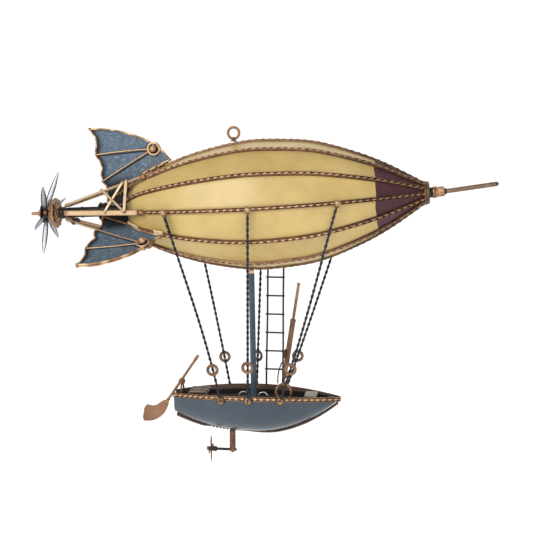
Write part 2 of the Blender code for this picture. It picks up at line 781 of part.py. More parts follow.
def make_trim():
    """One strip stands on edge round the outside of the gunwale, open at the transom."""
    near_path = []
    for x in steps(BOAT_STERN, BOAT_BOW - 2.4 * MM, 24):
        near_path.append(Vector((x, half_beam(x), gunwale_z(x))))
    sections = []
    loop = near_path + [Vector((p.x, -p.y, p.z)) for p in reversed(near_path)]
    for i, point in enumerate(loop):
        before = loop[max(0, i - 1)]
        after = loop[min(len(loop) - 1, i + 1)]
        run = (after - before).normalized()
        out = Vector((run.y, -run.x, 0)).normalized() * -1
        if out.y * point.y < 0 and abs(point.y) > 2 * MM:
            out = -out
        if i in (len(near_path) - 1, len(near_path)):
            out = Vector((0.85, math.copysign(0.55, point.y), 0))
        inner = point + out * SEAT_GAP * 1.6
        outer = point + out * (SEAT_GAP * 1.6 + TRIM_THICKNESS)
        up = Vector((0, 0, 1.0 * MM))
        down = Vector((0, 0, 1.0 * MM - TRIM_HEIGHT))
        sections.append([inner + up, outer + up, outer + down, inner + down])
    return loft("gunwale_trim", sections, "trim_copper")


def make_keel():
    """The twisted strip along the keel, from the transom's foot to the bow."""
    stations = hull_stations()[:-1] + [KEEL_BOW - 4.5 * MM, KEEL_BOW]
    upper = [(x, gunwale_z(x) - max(hull_depth(x) + SEAT_GAP, KEEL_UNDER_TRIM)) for x in stations]
    lower = [(x, z - KEEL_HEIGHT) for x, z in reversed(upper)]
    upright = Matrix.Rotation(math.pi / 2, 4, "X")
    return plate("keel_strip", upper + lower, KEEL_WIDTH, upright, "trim_copper")


def make_bench(name, aft, fore, deck_top):
    top = gunwale_z(BOAT_WAIST) - 0.6 * MM
    middle = (aft + fore) / 2
    width = min(half_beam(aft), half_beam(fore)) - HULL_WALL - 1.2 * MM
    floor = deck_top + SEAT_GAP
    seat = box("seat", (middle, 0, top - 1 * MM), (fore - aft, 2 * width, 2 * MM))
    base = box("base", (middle, 0, (floor + top - 1 * MM) / 2),
               (fore - aft - 3 * MM, 2 * width - 5 * MM, top - 1 * MM - floor))
    return fuse(name, [seat, base], "boat_brown")


def world_on_axis(axis, station, radius, degrees):
    """A point by the bent envelope."""
    return axis.matrix_world @ (polar_point(station, radius, degrees) + Vector((0, 0, axis_rise(station))))


# Each stay: its name, station on the 0 degree rib, foot x on the gunwale, washer height.
# Place and drop of each pair's feet, then each stay's head station and how far down its washer hangs.
STAYS = {
    "aft": (-11.2 * MM, 4.2 * MM, {"near": (-72 * MM, 0.828), "far": (-65 * MM, 0.836)}),
    "mid": (22.1 * MM, 3.9 * MM, {"near": (29.8 * MM, 0.812), "far": (23.5 * MM, 0.835)}),
    "fore": (60.3 * MM, 2.6 * MM, {"near": (129.5 * MM, 0.828), "far": (138 * MM, 0.835)}),
}
STAY_RADIUS = 1.5 * MM
STAY_BALL_RADIUS = 3.6 * MM
SCREW_RADIUS = 4.0 * MM
SCREW_DEPTH = 3.0 * MM
WASHER_OUTER = 7.6 * MM
WASHER_INNER = 3.7 * MM
WASHER_THICKNESS = 1.8 * MM


def make_stay(label, side, axis):
    foot_x, drop, sides = STAYS[label]
    station, washer_share = sides[side]
    sign = -1 if side == "near" else 1
    degrees = 0 if side == "near" else 180
    head = world_on_axis(axis, station, rib_radius(station) + SEAT_GAP + STAY_BALL_RADIUS * 0.97, degrees)
    trim_face = half_beam(foot_x) + SEAT_GAP * 1.6 + TRIM_THICKNESS
    foot_z = gunwale_z(foot_x) - drop
    slope = abs(half_beam(foot_x + 1 * MM) - half_beam(foot_x - 1 * MM)) / (2 * MM)
    clear = SEAT_GAP + slope * SCREW_RADIUS
    foot = Vector((foot_x, sign * (trim_face + clear + SCREW_DEPTH / 2), foot_z))
    rope = wire("rope", [head, foot], STAY_RADIUS, resolution=1)
    knob = ball("head", head, STAY_BALL_RADIUS)
    inner = foot - Vector((0, sign * SCREW_DEPTH / 2, 0))
    outer = foot + Vector((0, sign * SCREW_DEPTH / 2, 0))
    screw = cone("screw", inner, outer, SCREW_RADIUS, SCREW_RADIUS * 0.9, 16)
    spot = head.lerp(foot, washer_share)
    center = spot + Vector((0, sign * (STAY_RADIUS * 0.7 + WASHER_THICKNESS / 2), 0))
    half = Vector((0, sign * WASHER_THICKNESS / 2, 0))
    ring = cone("ring", center - half, center + half, WASHER_OUTER, WASHER_OUTER, 18)
    hole = cone("hole", center - half * 3, center + half * 3, WASHER_INNER, WASHER_INNER, 12)
    washer = combine(ring, hole, "DIFFERENCE")
    return fuse(f"stay_{label}_{side}", [rope, knob, screw, washer], "dark_steel")


MAST_TOP_X = 21.2 * MM
MAST_FOOT_X = 24.1 * MM
MAST_RADIUS = 3.3 * MM
MAST_FOOT_RADIUS = 6.4 * MM
MAST_SLEEVE_RADIUS = 4.6 * MM
MAST_SLEEVE_HEIGHT = 14 * MM
MAST_STUB_RADIUS = 2.6 * MM
MAST_STUB_HEIGHT = 4.5 * MM
MAST_TOP_GAP = 0.6 * MM

# Two wire hoops stand on the deck, one on each side of the mast's foot.
MAST_HOOPS = {"mast_hoop_aft": 13.0 * MM, "mast_hoop_fore": 36.6 * MM}
MAST_HOOP_Y = -10 * MM
MAST_HOOP_RADIUS = 6.2 * MM
MAST_HOOP_WIRE = 0.9 * MM
MAST_HOOP_TOP_Z = -312.3 * MM


def make_mast(axis, deck_top):
    envelope_low = world_on_axis(axis, MAST_TOP_X, rib_radius(MAST_TOP_X), 270)
    foot = Vector((MAST_FOOT_X, 0, deck_top + SEAT_GAP))
    top = Vector((MAST_TOP_X, 0, envelope_low.z - SEAT_GAP - MAST_TOP_GAP))
    height = (top - foot).length
    stub = height - MAST_STUB_HEIGHT
    profile = [
        (0, MAST_FOOT_RADIUS), (1.6 * MM, MAST_FOOT_RADIUS - 0.4 * MM),
        (4 * MM, MAST_SLEEVE_RADIUS + 0.2 * MM),
        (MAST_SLEEVE_HEIGHT, MAST_SLEEVE_RADIUS), (MAST_SLEEVE_HEIGHT + 0.3 * MM, MAST_RADIUS),
        (stub, MAST_RADIUS), (stub + 0.1 * MM, MAST_STUB_RADIUS), (height, MAST_STUB_RADIUS),
    ]
    place = along(foot, top)
    sections = []
    for z, radius in profile:
        ring = [2 * math.pi * k / 20 for k in range(20)]
        sections.append([place @ Vector((radius * math.cos(a), radius * math.sin(a), z)) for a in ring])
    mast = loft("mast", sections, "boat_blue")
    hoops = []
    for name, x in MAST_HOOPS.items():
        spring = MAST_HOOP_TOP_Z - MAST_HOOP_RADIUS
        floor = foot.z + 0.1 * MM
        arch = [(x + MAST_HOOP_RADIUS, MAST_HOOP_Y, floor)]
        for k in range(11):
            angle = math.pi * k / 10
            across, rise = MAST_HOOP_RADIUS * math.cos(angle), MAST_HOOP_RADIUS * math.sin(angle)
            arch.append((x + across, MAST_HOOP_Y, spring + rise))
        arch.append((x - MAST_HOOP_RADIUS, MAST_HOOP_Y, floor))
        hoops.append(as_mesh(wire(name, arch, MAST_HOOP_WIRE, "dark_steel"), "dark_steel"))
    return [mast] + hoops


LADDER_TOP_Y = 37.2 * MM
LADDER_FOOT_Y = 36.0 * MM
LADDER_TOP_Z = -154.8 * MM
LADDER_RAILS_TOP = (36.5 * MM, 55.8 * MM)
LADDER_RAILS_FOOT = (34.4 * MM, 55.2 * MM)
LADDER_RAIL_RADIUS = 1.0 * MM
LADDER_RUNG_RADIUS = 0.95 * MM
LADDER_FIRST_RUNG_Z = -177.4 * MM
LADDER_RUNG_PITCH = 23.3 * MM
LADDER_RUNGS = 6
LADDER_RUNG_PAST_AFT = 2.2 * MM
LADDER_RUNG_PAST_FORE = 0.6 * MM


def make_ladder():
    foot_z = gunwale_z(sum(LADDER_RAILS_FOOT) / 2) - 4 * MM
    rails = []
    pieces = []
    for x_foot, x_top in zip(LADDER_RAILS_FOOT, LADDER_RAILS_TOP):
        foot = Vector((x_foot, LADDER_FOOT_Y, foot_z))
        top = Vector((x_top, LADDER_TOP_Y, LADDER_TOP_Z))
        rails.append((foot, top))
        pieces.append(wire("rail", [foot, top], LADDER_RAIL_RADIUS))
    for k in range(LADDER_RUNGS):
        z = LADDER_FIRST_RUNG_Z - LADDER_RUNG_PITCH * k
        share = (z - foot_z) / (LADDER_TOP_Z - foot_z)
        aft = rails[0][0].lerp(rails[0][1], share) - Vector((LADDER_RUNG_PAST_AFT, 0, 0))
        fore = rails[1][0].lerp(rails[1][1], share) + Vector((LADDER_RUNG_PAST_FORE, 0, 0))
        pieces.append(wire("rung", [aft, fore], LADDER_RUNG_RADIUS))
    return fuse("ladder", pieces, "dark_steel")


# The spyglass gun: shares of the way from its foot to its tip, and radii.
GUN_FOOT = Vector((61.4, -9.0, -300.6)) * MM
GUN_TIP = Vector((79.8, -9.0, -177.4)) * MM
GUN_GRIP = (0.05, 0.22)
GUN_GRIP_RADIUS = 2.4 * MM
GUN_TUBE = (0.21, 0.63)
GUN_TUBE_RADIUS = 3.0 * MM
GUN_BARREL_RADIUS = 1.5 * MM
GUN_MUZZLE_RADIUS = 1.9 * MM
GUN_STEM_RADIUS = 1.3 * MM
GUN_RING_SHARE = 0.295
GUN_RING_RADII = (5.8 * MM, 3.0 * MM)
GUN_RING_THICKNESS = 1.8 * MM
GUN_HOOP_X = 61.7 * MM
GUN_HOOP_RADIUS = 10.2 * MM
GUN_HOOP_WIRE = 1.0 * MM
GUN_HOOP_TURN = 24
GUN_CAP_HEIGHT = 1.7 * MM


def make_gun(deck_top):
    """The long spyglass gun on its wire hoops, with a ring soldered to its aft side."""
    reach = GUN_TIP - GUN_FOOT
    up = reach.normalized()
    grip_low, grip_high = [GUN_FOOT + reach * share for share in GUN_GRIP]
    tube_low, tube_high = [GUN_FOOT + reach * share for share in GUN_TUBE]
    muzzle = GUN_TIP - up * 2.5 * MM
    pieces = [
        cone("tube", tube_low, tube_high, GUN_TUBE_RADIUS, GUN_TUBE_RADIUS, 16),
        cone("grip", grip_low, grip_high, GUN_GRIP_RADIUS, GUN_GRIP_RADIUS, 16),
        cone("barrel", tube_high - up * 1 * MM, GUN_TIP - up * 1 * MM, GUN_BARREL_RADIUS, GUN_BARREL_RADIUS, 12),
        cone("muzzle", muzzle, GUN_TIP, GUN_MUZZLE_RADIUS, GUN_MUZZLE_RADIUS, 12),
    ]
    aft = Vector((-up.z, 0, up.x))
    ring_out, ring_in = GUN_RING_RADII
    spot = GUN_FOOT + reach * GUN_RING_SHARE + aft * (GUN_TUBE_RADIUS + GUN_RING_THICKNESS * 0.35)
    half = aft * GUN_RING_THICKNESS / 2
    ring = cone("ring", spot - half, spot + half, ring_out, ring_out, 18)
    hole = cone("hole", spot - half * 3, spot + half * 3, ring_in, ring_in, 12)
    pieces.append(combine(ring, hole, "DIFFERENCE"))
    floor = deck_top + SEAT_GAP
    center = Vector((GUN_HOOP_X, GUN_FOOT.y, floor + GUN_HOOP_WIRE + GUN_HOOP_RADIUS))
    cap_low = center + Vector((0, 0, GUN_HOOP_RADIUS - 0.6 * MM))
    cap_high = cap_low + Vector((0, 0, GUN_CAP_HEIGHT))
    stem_low = cap_high + Vector((0, 0, SEAT_GAP))
    pieces.append(cone("stem", stem_low, grip_low + up * 1 * MM, GUN_STEM_RADIUS, GUN_STEM_RADIUS, 12))
    gun = fuse("gun_barrel", pieces, "trim_copper")
    hoops = []
    for order, lean in enumerate((-GUN_HOOP_TURN, GUN_HOOP_TURN)):
        turn = Matrix.Rotation(math.radians(lean), 4, "Z")
        loop = []
        for k in range(18):
            # The second loop starts half a step round, so that no facets of the two coincide.
            angle = 2 * math.pi * (k + order / 2) / 18
            spoke = Vector((math.sin(angle), 0, math.cos(angle))) * GUN_HOOP_RADIUS
            loop.append(center + turn @ spoke)
        hoops.append(wire("gun_hoop", loop, GUN_HOOP_WIRE, cyclic=True))
    cap = cone("cap", cap_low, cap_high, 3.4 * MM, 2.6 * MM, 16)
    stand = fuse("gun_stand", hoops + [cap], "trim_copper")
    return [gun, stand]


OAR_PIVOT = Vector((-65.5, -2.4, -303.7)) * MM
OAR_CAP = Vector((-45.6, -2.4, -271.9)) * MM
OAR_NECK = Vector((-84.5, -2.4, -329.6)) * MM
OAR_BLADE = [
    (-84.9, -328.4), (-82.5, -331.5), (-84.2, -337.4), (-86.6, -342.1), (-90.2, -347.2), (-95.8, -351.6),
    (-102.2, -354.6), (-109.5, -355.8), (-114.6, -355.6), (-115.7, -351.4), (-114.9, -346.0), (-113.7, -339.5),
    (-109.7, -334.8), (-102.8, -335.9), (-97.4, -334.3), (-91.9, -330.4), (-87.8, -328.3),
]
OAR_PIN_RADIUS = 1.3 * MM
OAR_EYE_RADIUS = 4.2 * MM
OAR_EYE_LENGTH = 3.4 * MM


def make_oar():
    """The steering oar turns on a rivet across the stern."""
    y = OAR_PIVOT.y
    shaft = wire("shaft", [OAR_CAP, OAR_NECK + (OAR_NECK - OAR_PIVOT) * 0.04], 1.6 * MM, resolution=2)
    cap = ball("cap", OAR_CAP, 2.0 * MM)
    upright = Matrix.Translation((0, y, 0)) @ Matrix.Rotation(math.pi / 2, 4, "X")
    blade = plate("blade", mm_pairs(OAR_BLADE), 1.6 * MM, upright)
    half = Vector((0, OAR_EYE_LENGTH / 2, 0))
    eye = cone("eye", OAR_PIVOT - half, OAR_PIVOT + half, OAR_EYE_RADIUS, OAR_EYE_RADIUS, 20)
    oar = fuse("steering_oar", [shaft, cap, blade, eye], "trim_copper")
    bore = OAR_PIN_RADIUS + SEAT_GAP
    hole = cone("hole", OAR_PIVOT - half * 3, OAR_PIVOT + half * 3, bore, bore, 16)
    oar = combine(oar, hole, "DIFFERENCE")
    oar.name = "steering_oar"
    pivot = add_empty("oar_pivot", Matrix.Translation(OAR_PIVOT))
    oar.parent = pivot
    oar.matrix_parent_inverse = pivot.matrix_world.inverted()
    return oar


def make_yoke(deck_top):
    """A rivet through the oar's eye, on a leg either side that stands on the deck."""
    foot_z = deck_top + SEAT_GAP
    leg_radius = 1.1 * MM
    reach = OAR_EYE_LENGTH / 2 + SEAT_GAP + leg_radius
    near_top = OAR_PIVOT - Vector((0, reach, 0))
    far_top = OAR_PIVOT + Vector((0, reach, 0))
    over = Vector((0, leg_radius + 0.4 * MM, 0))
    pin = cone("pin", near_top - over, far_top + over, OAR_PIN_RADIUS, OAR_PIN_RADIUS, 16)
    rise = Vector((0, 0, 1.2 * MM))
    near_foot = (near_top.x, near_top.y - 2.0 * MM, foot_z)
    far_foot = (far_top.x + 1.2 * MM, 7.0 * MM, foot_z)
    near_leg = wire("near_leg", [near_top + rise, near_foot], leg_radius)
    far_leg = wire("far_leg", [far_top + rise, far_foot], leg_radius)
    head = ball("head", near_top - over, 2.2 * MM)
    return fuse("oar_yoke", [pin, near_leg, far_leg, head], "trim_copper")


KEEL_POST_X = -2.7 * MM
KEEL_SHAFT_Z = -388.6 * MM
KEEL_PROP_X = -29.8 * MM
KEEL_PROP_PITCHES = (48, 62)


def make_keel_drive():
    keel_low = gunwale_z(KEEL_POST_X) - hull_depth(KEEL_POST_X) - SEAT_GAP - KEEL_HEIGHT
    top = keel_low - SEAT_GAP
    tip = -392.5 * MM
    post = cone("post", (KEEL_POST_X, 0, top), (KEEL_POST_X, 0, tip + 3.5 * MM), 3.7 * MM, 3.7 * MM, 16)
    point = cone("point", (KEEL_POST_X, 0, tip + 3.6 * MM), (KEEL_POST_X, 0, tip), 3.7 * MM, 0.6 * MM, 16)
    z = KEEL_SHAFT_Z
    collar_fore = KEEL_PROP_X + 7.2 * MM
    collar_aft = KEEL_PROP_X + 2.4 * MM
    shaft = cone("shaft", (KEEL_POST_X + 5 * MM, 0, z), (KEEL_PROP_X - 5.4 * MM, 0, z), 1.6 * MM, 1.6 * MM, 14)
    collar = cone("collar", (collar_fore, 0, z), (collar_aft, 0, z), 3.2 * MM, 3.2 * MM, 14)
    end = cone("end", (KEEL_PROP_X - 2.4 * MM, 0, z), (KEEL_PROP_X - 5.0 * MM, 0, z), 2.9 * MM, 2.9 * MM, 6)
    leg = fuse("keel_drive_leg", [post, point, shaft, collar, end], "trim_copper")
    rotor = make_propeller(
        "keel_propeller", 4, 16.2 * MM, 3.2 * MM, 3.8 * MM, 1.6 * MM + SEAT_GAP, 6.5 * MM, KEEL_PROP_PITCHES, 0,
        "trim_copper", 0,
    )
    rotor.matrix_world = Matrix.Translation((KEEL_PROP_X, 0, z))
    return [leg, rotor]


def make_hanging_ring(axis):
    loop = []
    major = RING_OUTER_RADIUS - RING_WIRE_RADIUS
    for k in range(24):
        angle = 2 * math.pi * k / 24
        loop.append((major * math.sin(angle), 0, major * math.cos(angle)))
    ring = wire("ring", loop, RING_WIRE_RADIUS, cyclic=True)
    base_radius = 3.4 * MM
    lean = rib_radius(0) * math.tan(AXIS_PITCH)
    seat = world_on_axis(axis, lean + base_radius, rib_radius(lean + base_radius), 90).z + SEAT_GAP
    base = cone("base", (0, 0, seat), (0, 0, seat + 2.4 * MM), base_radius, 1.9 * MM, 16)
    return fuse("hanging_ring", [ring, base], "trim_copper")


def main():
    pitch = Matrix.Rotation(-AXIS_PITCH, 4, "Y")
    axis = add_empty("envelope_axis", Matrix.Translation((0, 0, -AXIS_DROP)) @ pitch)
    level = Matrix.Rotation(-math.atan(axis_slope(TAIL_RIM)), 4, "Y")
    rim = Matrix.Translation((TAIL_RIM, 0, axis_rise(TAIL_RIM)))
    tail_place = axis.matrix_basis @ rim @ level @ Matrix.Translation((-TAIL_RIM, 0, 0))
    tail_axis = add_empty("tail_axis", tail_place)
    bpy.context.view_layer.update()
    on_envelope = [make_envelope()]
    on_envelope += [make_rib(index) for index in range(RIB_COUNT)]
    on_envelope += make_nose()
    on_envelope += make_tail()
    for side, degrees in FIN_ANGLES.items():
        on_envelope += make_fin(side, degrees)
    for piece in on_envelope:
        bend(piece)
        under(piece, axis, piece.matrix_basis.copy())
    make_tail_propeller(tail_axis)
    make_hanging_ring(axis)
    make_hull()
    deck, deck_top = make_deck()
    make_trim()
    make_keel()
    make_bench("stern_bench", -54 * MM, -33 * MM, deck_top)
    make_bench("bow_bench", 87 * MM, 102 * MM, deck_top)
    for label in STAYS:
        for side in ("near", "far"):
            make_stay(label, side, axis)
    make_mast(axis, deck_top)
    make_ladder()
    make_gun(deck_top)
    make_oar()
    make_yoke(deck_top)
    make_keel_drive()


main()
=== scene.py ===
"""Looks of the hanging metal airship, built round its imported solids.

Lengths are millimetres in the row frame until a piece is made: +X to the nose, +Z up, near side -Y.
The envelope and its tail have their own axis. Along it a station is the distance forward of the ring,
and a polar angle runs from the near side over the top.
"""
import math

import bmesh
import bpy
import numpy as np
from mathutils import Matrix, Vector


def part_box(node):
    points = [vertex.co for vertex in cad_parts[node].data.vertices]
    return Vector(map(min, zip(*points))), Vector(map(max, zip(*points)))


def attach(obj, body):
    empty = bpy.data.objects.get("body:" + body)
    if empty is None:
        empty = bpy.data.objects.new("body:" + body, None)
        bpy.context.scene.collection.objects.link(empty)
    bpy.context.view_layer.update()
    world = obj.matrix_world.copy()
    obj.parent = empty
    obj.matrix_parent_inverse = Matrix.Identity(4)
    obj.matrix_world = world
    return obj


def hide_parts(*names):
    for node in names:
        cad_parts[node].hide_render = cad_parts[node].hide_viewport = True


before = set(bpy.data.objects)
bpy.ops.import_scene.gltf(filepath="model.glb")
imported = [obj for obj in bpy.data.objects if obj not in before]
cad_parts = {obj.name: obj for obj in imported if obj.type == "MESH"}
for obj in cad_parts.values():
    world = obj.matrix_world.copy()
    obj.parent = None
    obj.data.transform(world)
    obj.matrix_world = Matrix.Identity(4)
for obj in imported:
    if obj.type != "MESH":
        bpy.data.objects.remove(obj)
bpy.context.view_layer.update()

MM = 0.001
# The room that touching solids keep between them.
GAP = 0.3
TO_X, Y_UP = Matrix.Rotation(math.pi / 2, 4, "Y"), Matrix.Rotation(math.pi / 2, 4, "X")
AXIS = np.array(Matrix.Translation((0, 0, -87.3)) @ Matrix.Rotation(math.radians(-3.7), 4, "Y"))

# The envelope is bent up towards both ends, and the tail's pin runs on straight from its rim.
TAIL_RIM, NOSE_END = -125.0, 226.0
BEND_STATION, BEND = 30.0, 7.5e-5


def look(slot, low, high, hollow, scale, grain_size, rough, **more):
    """Colours from dull to bright and of hollows and painted shade, blotches and grains to a metre, and how
    rough it is.
    """
    facts = dict(stain=0.3, bump=0.3, metallic=0.0, coat=0.0, specular=0.5)
    facts.update(more, slot=slot, low=low, high=high, hollow=hollow)
    facts.update(scale=scale, grain_size=grain_size, rough=rough)
    return facts


# Each finish's third colour is that of patina in hollows and of painted shade, and its glint that of painted
# highlights.
FINISHES = {
    "cream": look(
        "envelope_paint", (0.45, 0.320, 0.108), (0.59, 0.428, 0.158), (0.10, 0.055, 0.025),
        18, 700, (0.42, 0.58), stain=0.06, bump=0.12, coat=0.4, specular=0.35,
    ),
    "maroon": look(
        "envelope_paint", (0.048, 0.015, 0.021), (0.078, 0.026, 0.032), (0.012, 0.005, 0.006),
        40, 600, (0.38, 0.52), stain=0.1, bump=0.15, coat=0.2, specular=0.2,
    ),
    "copper": look(
        "copper_trim", (0.19, 0.092, 0.043), (0.45, 0.250, 0.125), (0.016, 0.009, 0.006),
        150, 900, (0.30, 0.46), glint=(0.86, 0.62, 0.38), stain=0.5, metallic=0.6, bump=0.4,
    ),
    "old_copper": look(
        "copper_trim", (0.085, 0.043, 0.024), (0.24, 0.125, 0.066), (0.010, 0.007, 0.006),
        130, 800, (0.34, 0.52), glint=(0.55, 0.38, 0.24), stain=0.6, metallic=0.6, bump=0.4,
    ),
    "brass": look(
        "brass_bars", (0.52, 0.325, 0.165), (0.92, 0.665, 0.400), (0.03, 0.016, 0.010),
        110, 900, (0.34, 0.50), glint=(0.95, 0.80, 0.55), stain=0.35, metallic=0.3, streak=0.7,
    ),
    "washer_copper": look(
        "copper_trim", (0.13, 0.065, 0.034), (0.34, 0.185, 0.098), (0.012, 0.008, 0.006),
        140, 900, (0.32, 0.48), glint=(0.70, 0.48, 0.30), stain=0.5, metallic=0.5, bump=0.4,
    ),
    "rose_copper": look(
        "copper_trim", (0.20, 0.100, 0.055), (0.34, 0.175, 0.100), (0.03, 0.016, 0.012),
        40, 800, (0.38, 0.52), stain=0.25, metallic=0.25, bump=0.25, specular=0.3,
    ),
    "screw_brass": look(
        "dark_steel", (0.15, 0.088, 0.036), (0.40, 0.265, 0.120), (0.02, 0.012, 0.008),
        200, 900, (0.32, 0.48), stain=0.5, metallic=0.5, bump=0.4,
    ),
    "rose_brass": look(
        "brass_bars", (0.13, 0.080, 0.050), (0.25, 0.165, 0.105), (0.02, 0.014, 0.010),
        100, 800, (0.34, 0.48), stain=0.35, metallic=0.5, bump=0.25, specular=0.3,
    ),
    "black": look(
        "dark_steel", (0.008, 0.007, 0.008), (0.030, 0.026, 0.025), (0.003, 0.003, 0.003),
        150, 900, (0.34, 0.50), metallic=0.2, specular=0.3,
    ),
    "wire": look(
        "dark_steel", (0.007, 0.008, 0.010), (0.045, 0.050, 0.062), (0.002, 0.002, 0.003),
        260, 1200, (0.24, 0.40), stain=0.35, metallic=0.4, specular=0.3,
    ),
    "silver": look(
        "dark_steel", (0.30, 0.31, 0.32), (0.72, 0.72, 0.70), (0.02, 0.02, 0.02),
        200, 1000, (0.20, 0.36), metallic=0.8,
    ),
    "blade": look(
        "propeller_steel", (0.070, 0.080, 0.098), (0.30, 0.33, 0.375), (0.006, 0.007, 0.010),
        60, 900, (0.28, 0.44), glint=(0.62, 0.64, 0.68), stain=0.35, metallic=0.5, bump=0.25, streak=0.5,
        specular=0.3,
    ),
    "fin": look(
        "fin_blue", (0.044, 0.070, 0.102), (0.135, 0.186, 0.245), (0.006, 0.008, 0.011),
        26, 500, (0.46, 0.62), glint=(0.55, 0.62, 0.69), stain=0.25, metallic=0.1, bump=0.4, streak=0.75,
        dashes=1.0, specular=0.25,
    ),
    "hull": look(
        "boat_blue", (0.016, 0.031, 0.050), (0.027, 0.049, 0.074), (0.006, 0.008, 0.011),
        24, 500, (0.20, 0.32), glint=(0.80, 0.81, 0.80), stain=0.12, bump=0.12, coat=0.5,
    ),
    "mast": look(
        "boat_blue", (0.018, 0.030, 0.048), (0.095, 0.130, 0.172), (0.008, 0.010, 0.014),
        60, 700, (0.32, 0.48), glint=(0.42, 0.47, 0.52), stain=0.25, streak=0.8, specular=0.2,
    ),
    "inside": look(
        "boat_brown", (0.012, 0.009, 0.009), (0.032, 0.022, 0.020), (0.003, 0.003, 0.003),
        60, 600, (0.44, 0.62), glint=(0.20, 0.115, 0.085), specular=0.2,
    ),
    "brown": look(
        "boat_brown", (0.050, 0.025, 0.017), (0.13, 0.066, 0.042), (0.008, 0.005, 0.004),
        70, 600, (0.38, 0.54), metallic=0.1, bump=0.4, streak=0.5, specular=0.3,
    ),
    "greige": look(
        "boat_brown", (0.15, 0.128, 0.105), (0.30, 0.265, 0.220), (0.03, 0.024, 0.018),
        70, 600, (0.36, 0.50), streak=0.4, specular=0.3,
    ),
}


def tinted(name):
    """The finish as a node material: blotches, brushed streaks, dark hollows with painted shade, painted
    highlights and a fine grain.
    """
    if name in bpy.data.materials:
        return bpy.data.materials[name]
    facts = FINISHES[name]
    made = bpy.data.materials.new(name)
    made.use_nodes = True
    tree = made.node_tree
    shader = tree.nodes["Principled BSDF"]

    def node(kind, result, sockets, **settings):
        """A node with its settings and with its sockets set or linked. Gives its result."""
        new = tree.nodes.new(f"ShaderNode{kind}")
        for key, value in settings.items():
            setattr(new, key, value)
        for key, value in sockets.items():
            if isinstance(value, bpy.types.NodeSocket):
                tree.links.new(value, new.inputs[key])
            else:
                new.inputs[key].default_value = value
        return new.outputs[result]

    def noise(vector, scale, detail, roughness, **settings):
        sockets = {"Vector": vector, "Scale": scale, "Detail": detail, "Roughness": roughness}
        return node("TexNoise", "Fac", sockets, **settings)

    def spread(value, low, high, most=1.0):
        sockets = {"Value": value, "From Min": low, "From Max": high, "To Max": most}
        return node("MapRange", "Result", sockets)

    def point_value(label):
        return node("Attribute", "Fac", {}, attribute_name=label)

    def mixed(share, first, second):
        return node("Mix", "Result", {"Factor": share, "A": first, "B": second}, data_type="RGBA")

    def clamped(operation, first, second):
        return node("Math", "Value", {0: first, 1: second}, operation=operation, use_clamp=True)

    place = node("TexCoord", "Object", {})
    level = spread(noise(place, facts["scale"], 5.0, 0.6), 0.32, 0.68)
    if "streak" in facts:
        stroke = node("CombineXYZ", "Vector", {"X": point_value("grain"), "Y": point_value("run")})
        lines = noise(stroke, 1.0, 4.0, 0.75, noise_dimensions="2D")
        strokes = spread(lines, 0.35, 0.66)
        level = node("Mix", "Result", {"Factor": facts["streak"], "A": level, "B": strokes})
    base = mixed(level, (*facts["low"], 1), (*facts["high"], 1))
    dark = point_value("dark")
    if "glint" in facts:
        # Below nothing, the darkness says how bright a painted highlight makes a point.
        share = clamped("MULTIPLY", dark, -1.0)
        if "dashes" in facts:
            share = clamped("MULTIPLY", share, spread(lines, 0.56, 0.70, facts["dashes"]))
        base = mixed(share, base, (*facts["glint"], 1))
    speck = noise(place, facts["scale"] * 3.1, 4.0, 0.7)
    stain = spread(speck, 0.48, 0.80, facts["stain"])
    # Stains and the points' darkness, patina and painted shade, mix in the dark colour.
    stain_and_shade = clamped("ADD", stain, node("Clamp", "Result", {"Value": dark}))
    smooth, rough = facts["rough"]
    fine = noise(place, facts["grain_size"], 3.0, 0.7)
    relief = {"Height": fine, "Strength": facts["bump"], "Distance": 0.3 * MM}
    for socket, result in (
        ("Base Color", mixed(stain_and_shade, base, (*facts["hollow"], 1))),
        ("Roughness", node("MapRange", "Result", {"Value": speck, "To Min": smooth, "To Max": rough})),
        ("Normal", node("Bump", "Normal", relief)),
    ):
        tree.links.new(result, shader.inputs[socket])
    shader.inputs["Metallic"].default_value = facts["metallic"]
    shader.inputs["Coat Weight"].default_value = facts["coat"]
    shader.inputs["Coat Roughness"].default_value = 0.22
    shader.inputs["Specular IOR Level"].default_value = facts["specular"]
    return made


def unit(vectors):
    vectors = np.asarray(vectors, float)
    return vectors / np.maximum(1e-12, np.linalg.norm(vectors, axis=-1, keepdims=True))


def placed(points, place):
    points = np.asarray(points, float)
    place = np.array(place, float)
    return points @ place[:3, :3].T + place[:3, 3]


def axis_rise(station):
    held = np.clip(station, TAIL_RIM, NOSE_END)
    return BEND * (held - BEND_STATION) ** 2 + 2 * BEND * (held - BEND_STATION) * (station - held)


def bow(points):
    """Lifts points with the envelope's bent axis."""
    local = placed(points, np.linalg.inv(AXIS))
    local[..., 2] += axis_rise(local[..., 0])
    return placed(local, AXIS)


def circle(sides):
    return np.arange(sides) * 2 * math.pi / sides


def apart(start, end):
    return float(np.linalg.norm(end - start))


def lengths(path):
    """How far along the path each of its points lies."""
    return np.concatenate([[0], np.cumsum(np.linalg.norm(np.diff(path, axis=0), axis=1))])


def resampled(points, length, run):
    return np.stack([np.interp(run, length, column) for column in points.T], 1)


def straight(start, end, share):
    return start * (1 - share) + end * share


def upright_loop(radius, sides):
    around = circle(sides)
    return np.stack([np.sin(around), 0 * around, np.cos(around)], 1) * radius


class Form:
    """Points and faces of a piece, how dark each point is, and where it lies on the brush strokes."""

    def __init__(self, bent=False):
        self.points, self.faces, self.count, self.bent = [], [], 0, bent
        self.layers = {"dark": [], "grain": [], "run": []}

    def add(self, points, faces, dark=0.0, grain=0.0, place=None, run=0.0):
        points = np.asarray(points, float).reshape(-1, 3)
        if place is not None:
            points = placed(points, place)
        self.points.append(points)
        self.faces += [tuple(i + self.count for i in face) for face in faces]
        for label, values in (("dark", dark), ("grain", grain), ("run", run)):
            values = np.ravel(values)
            self.layers[label].append(np.full(len(points), values[0]) if len(values) == 1 else values)
        self.count += len(points)
        return self


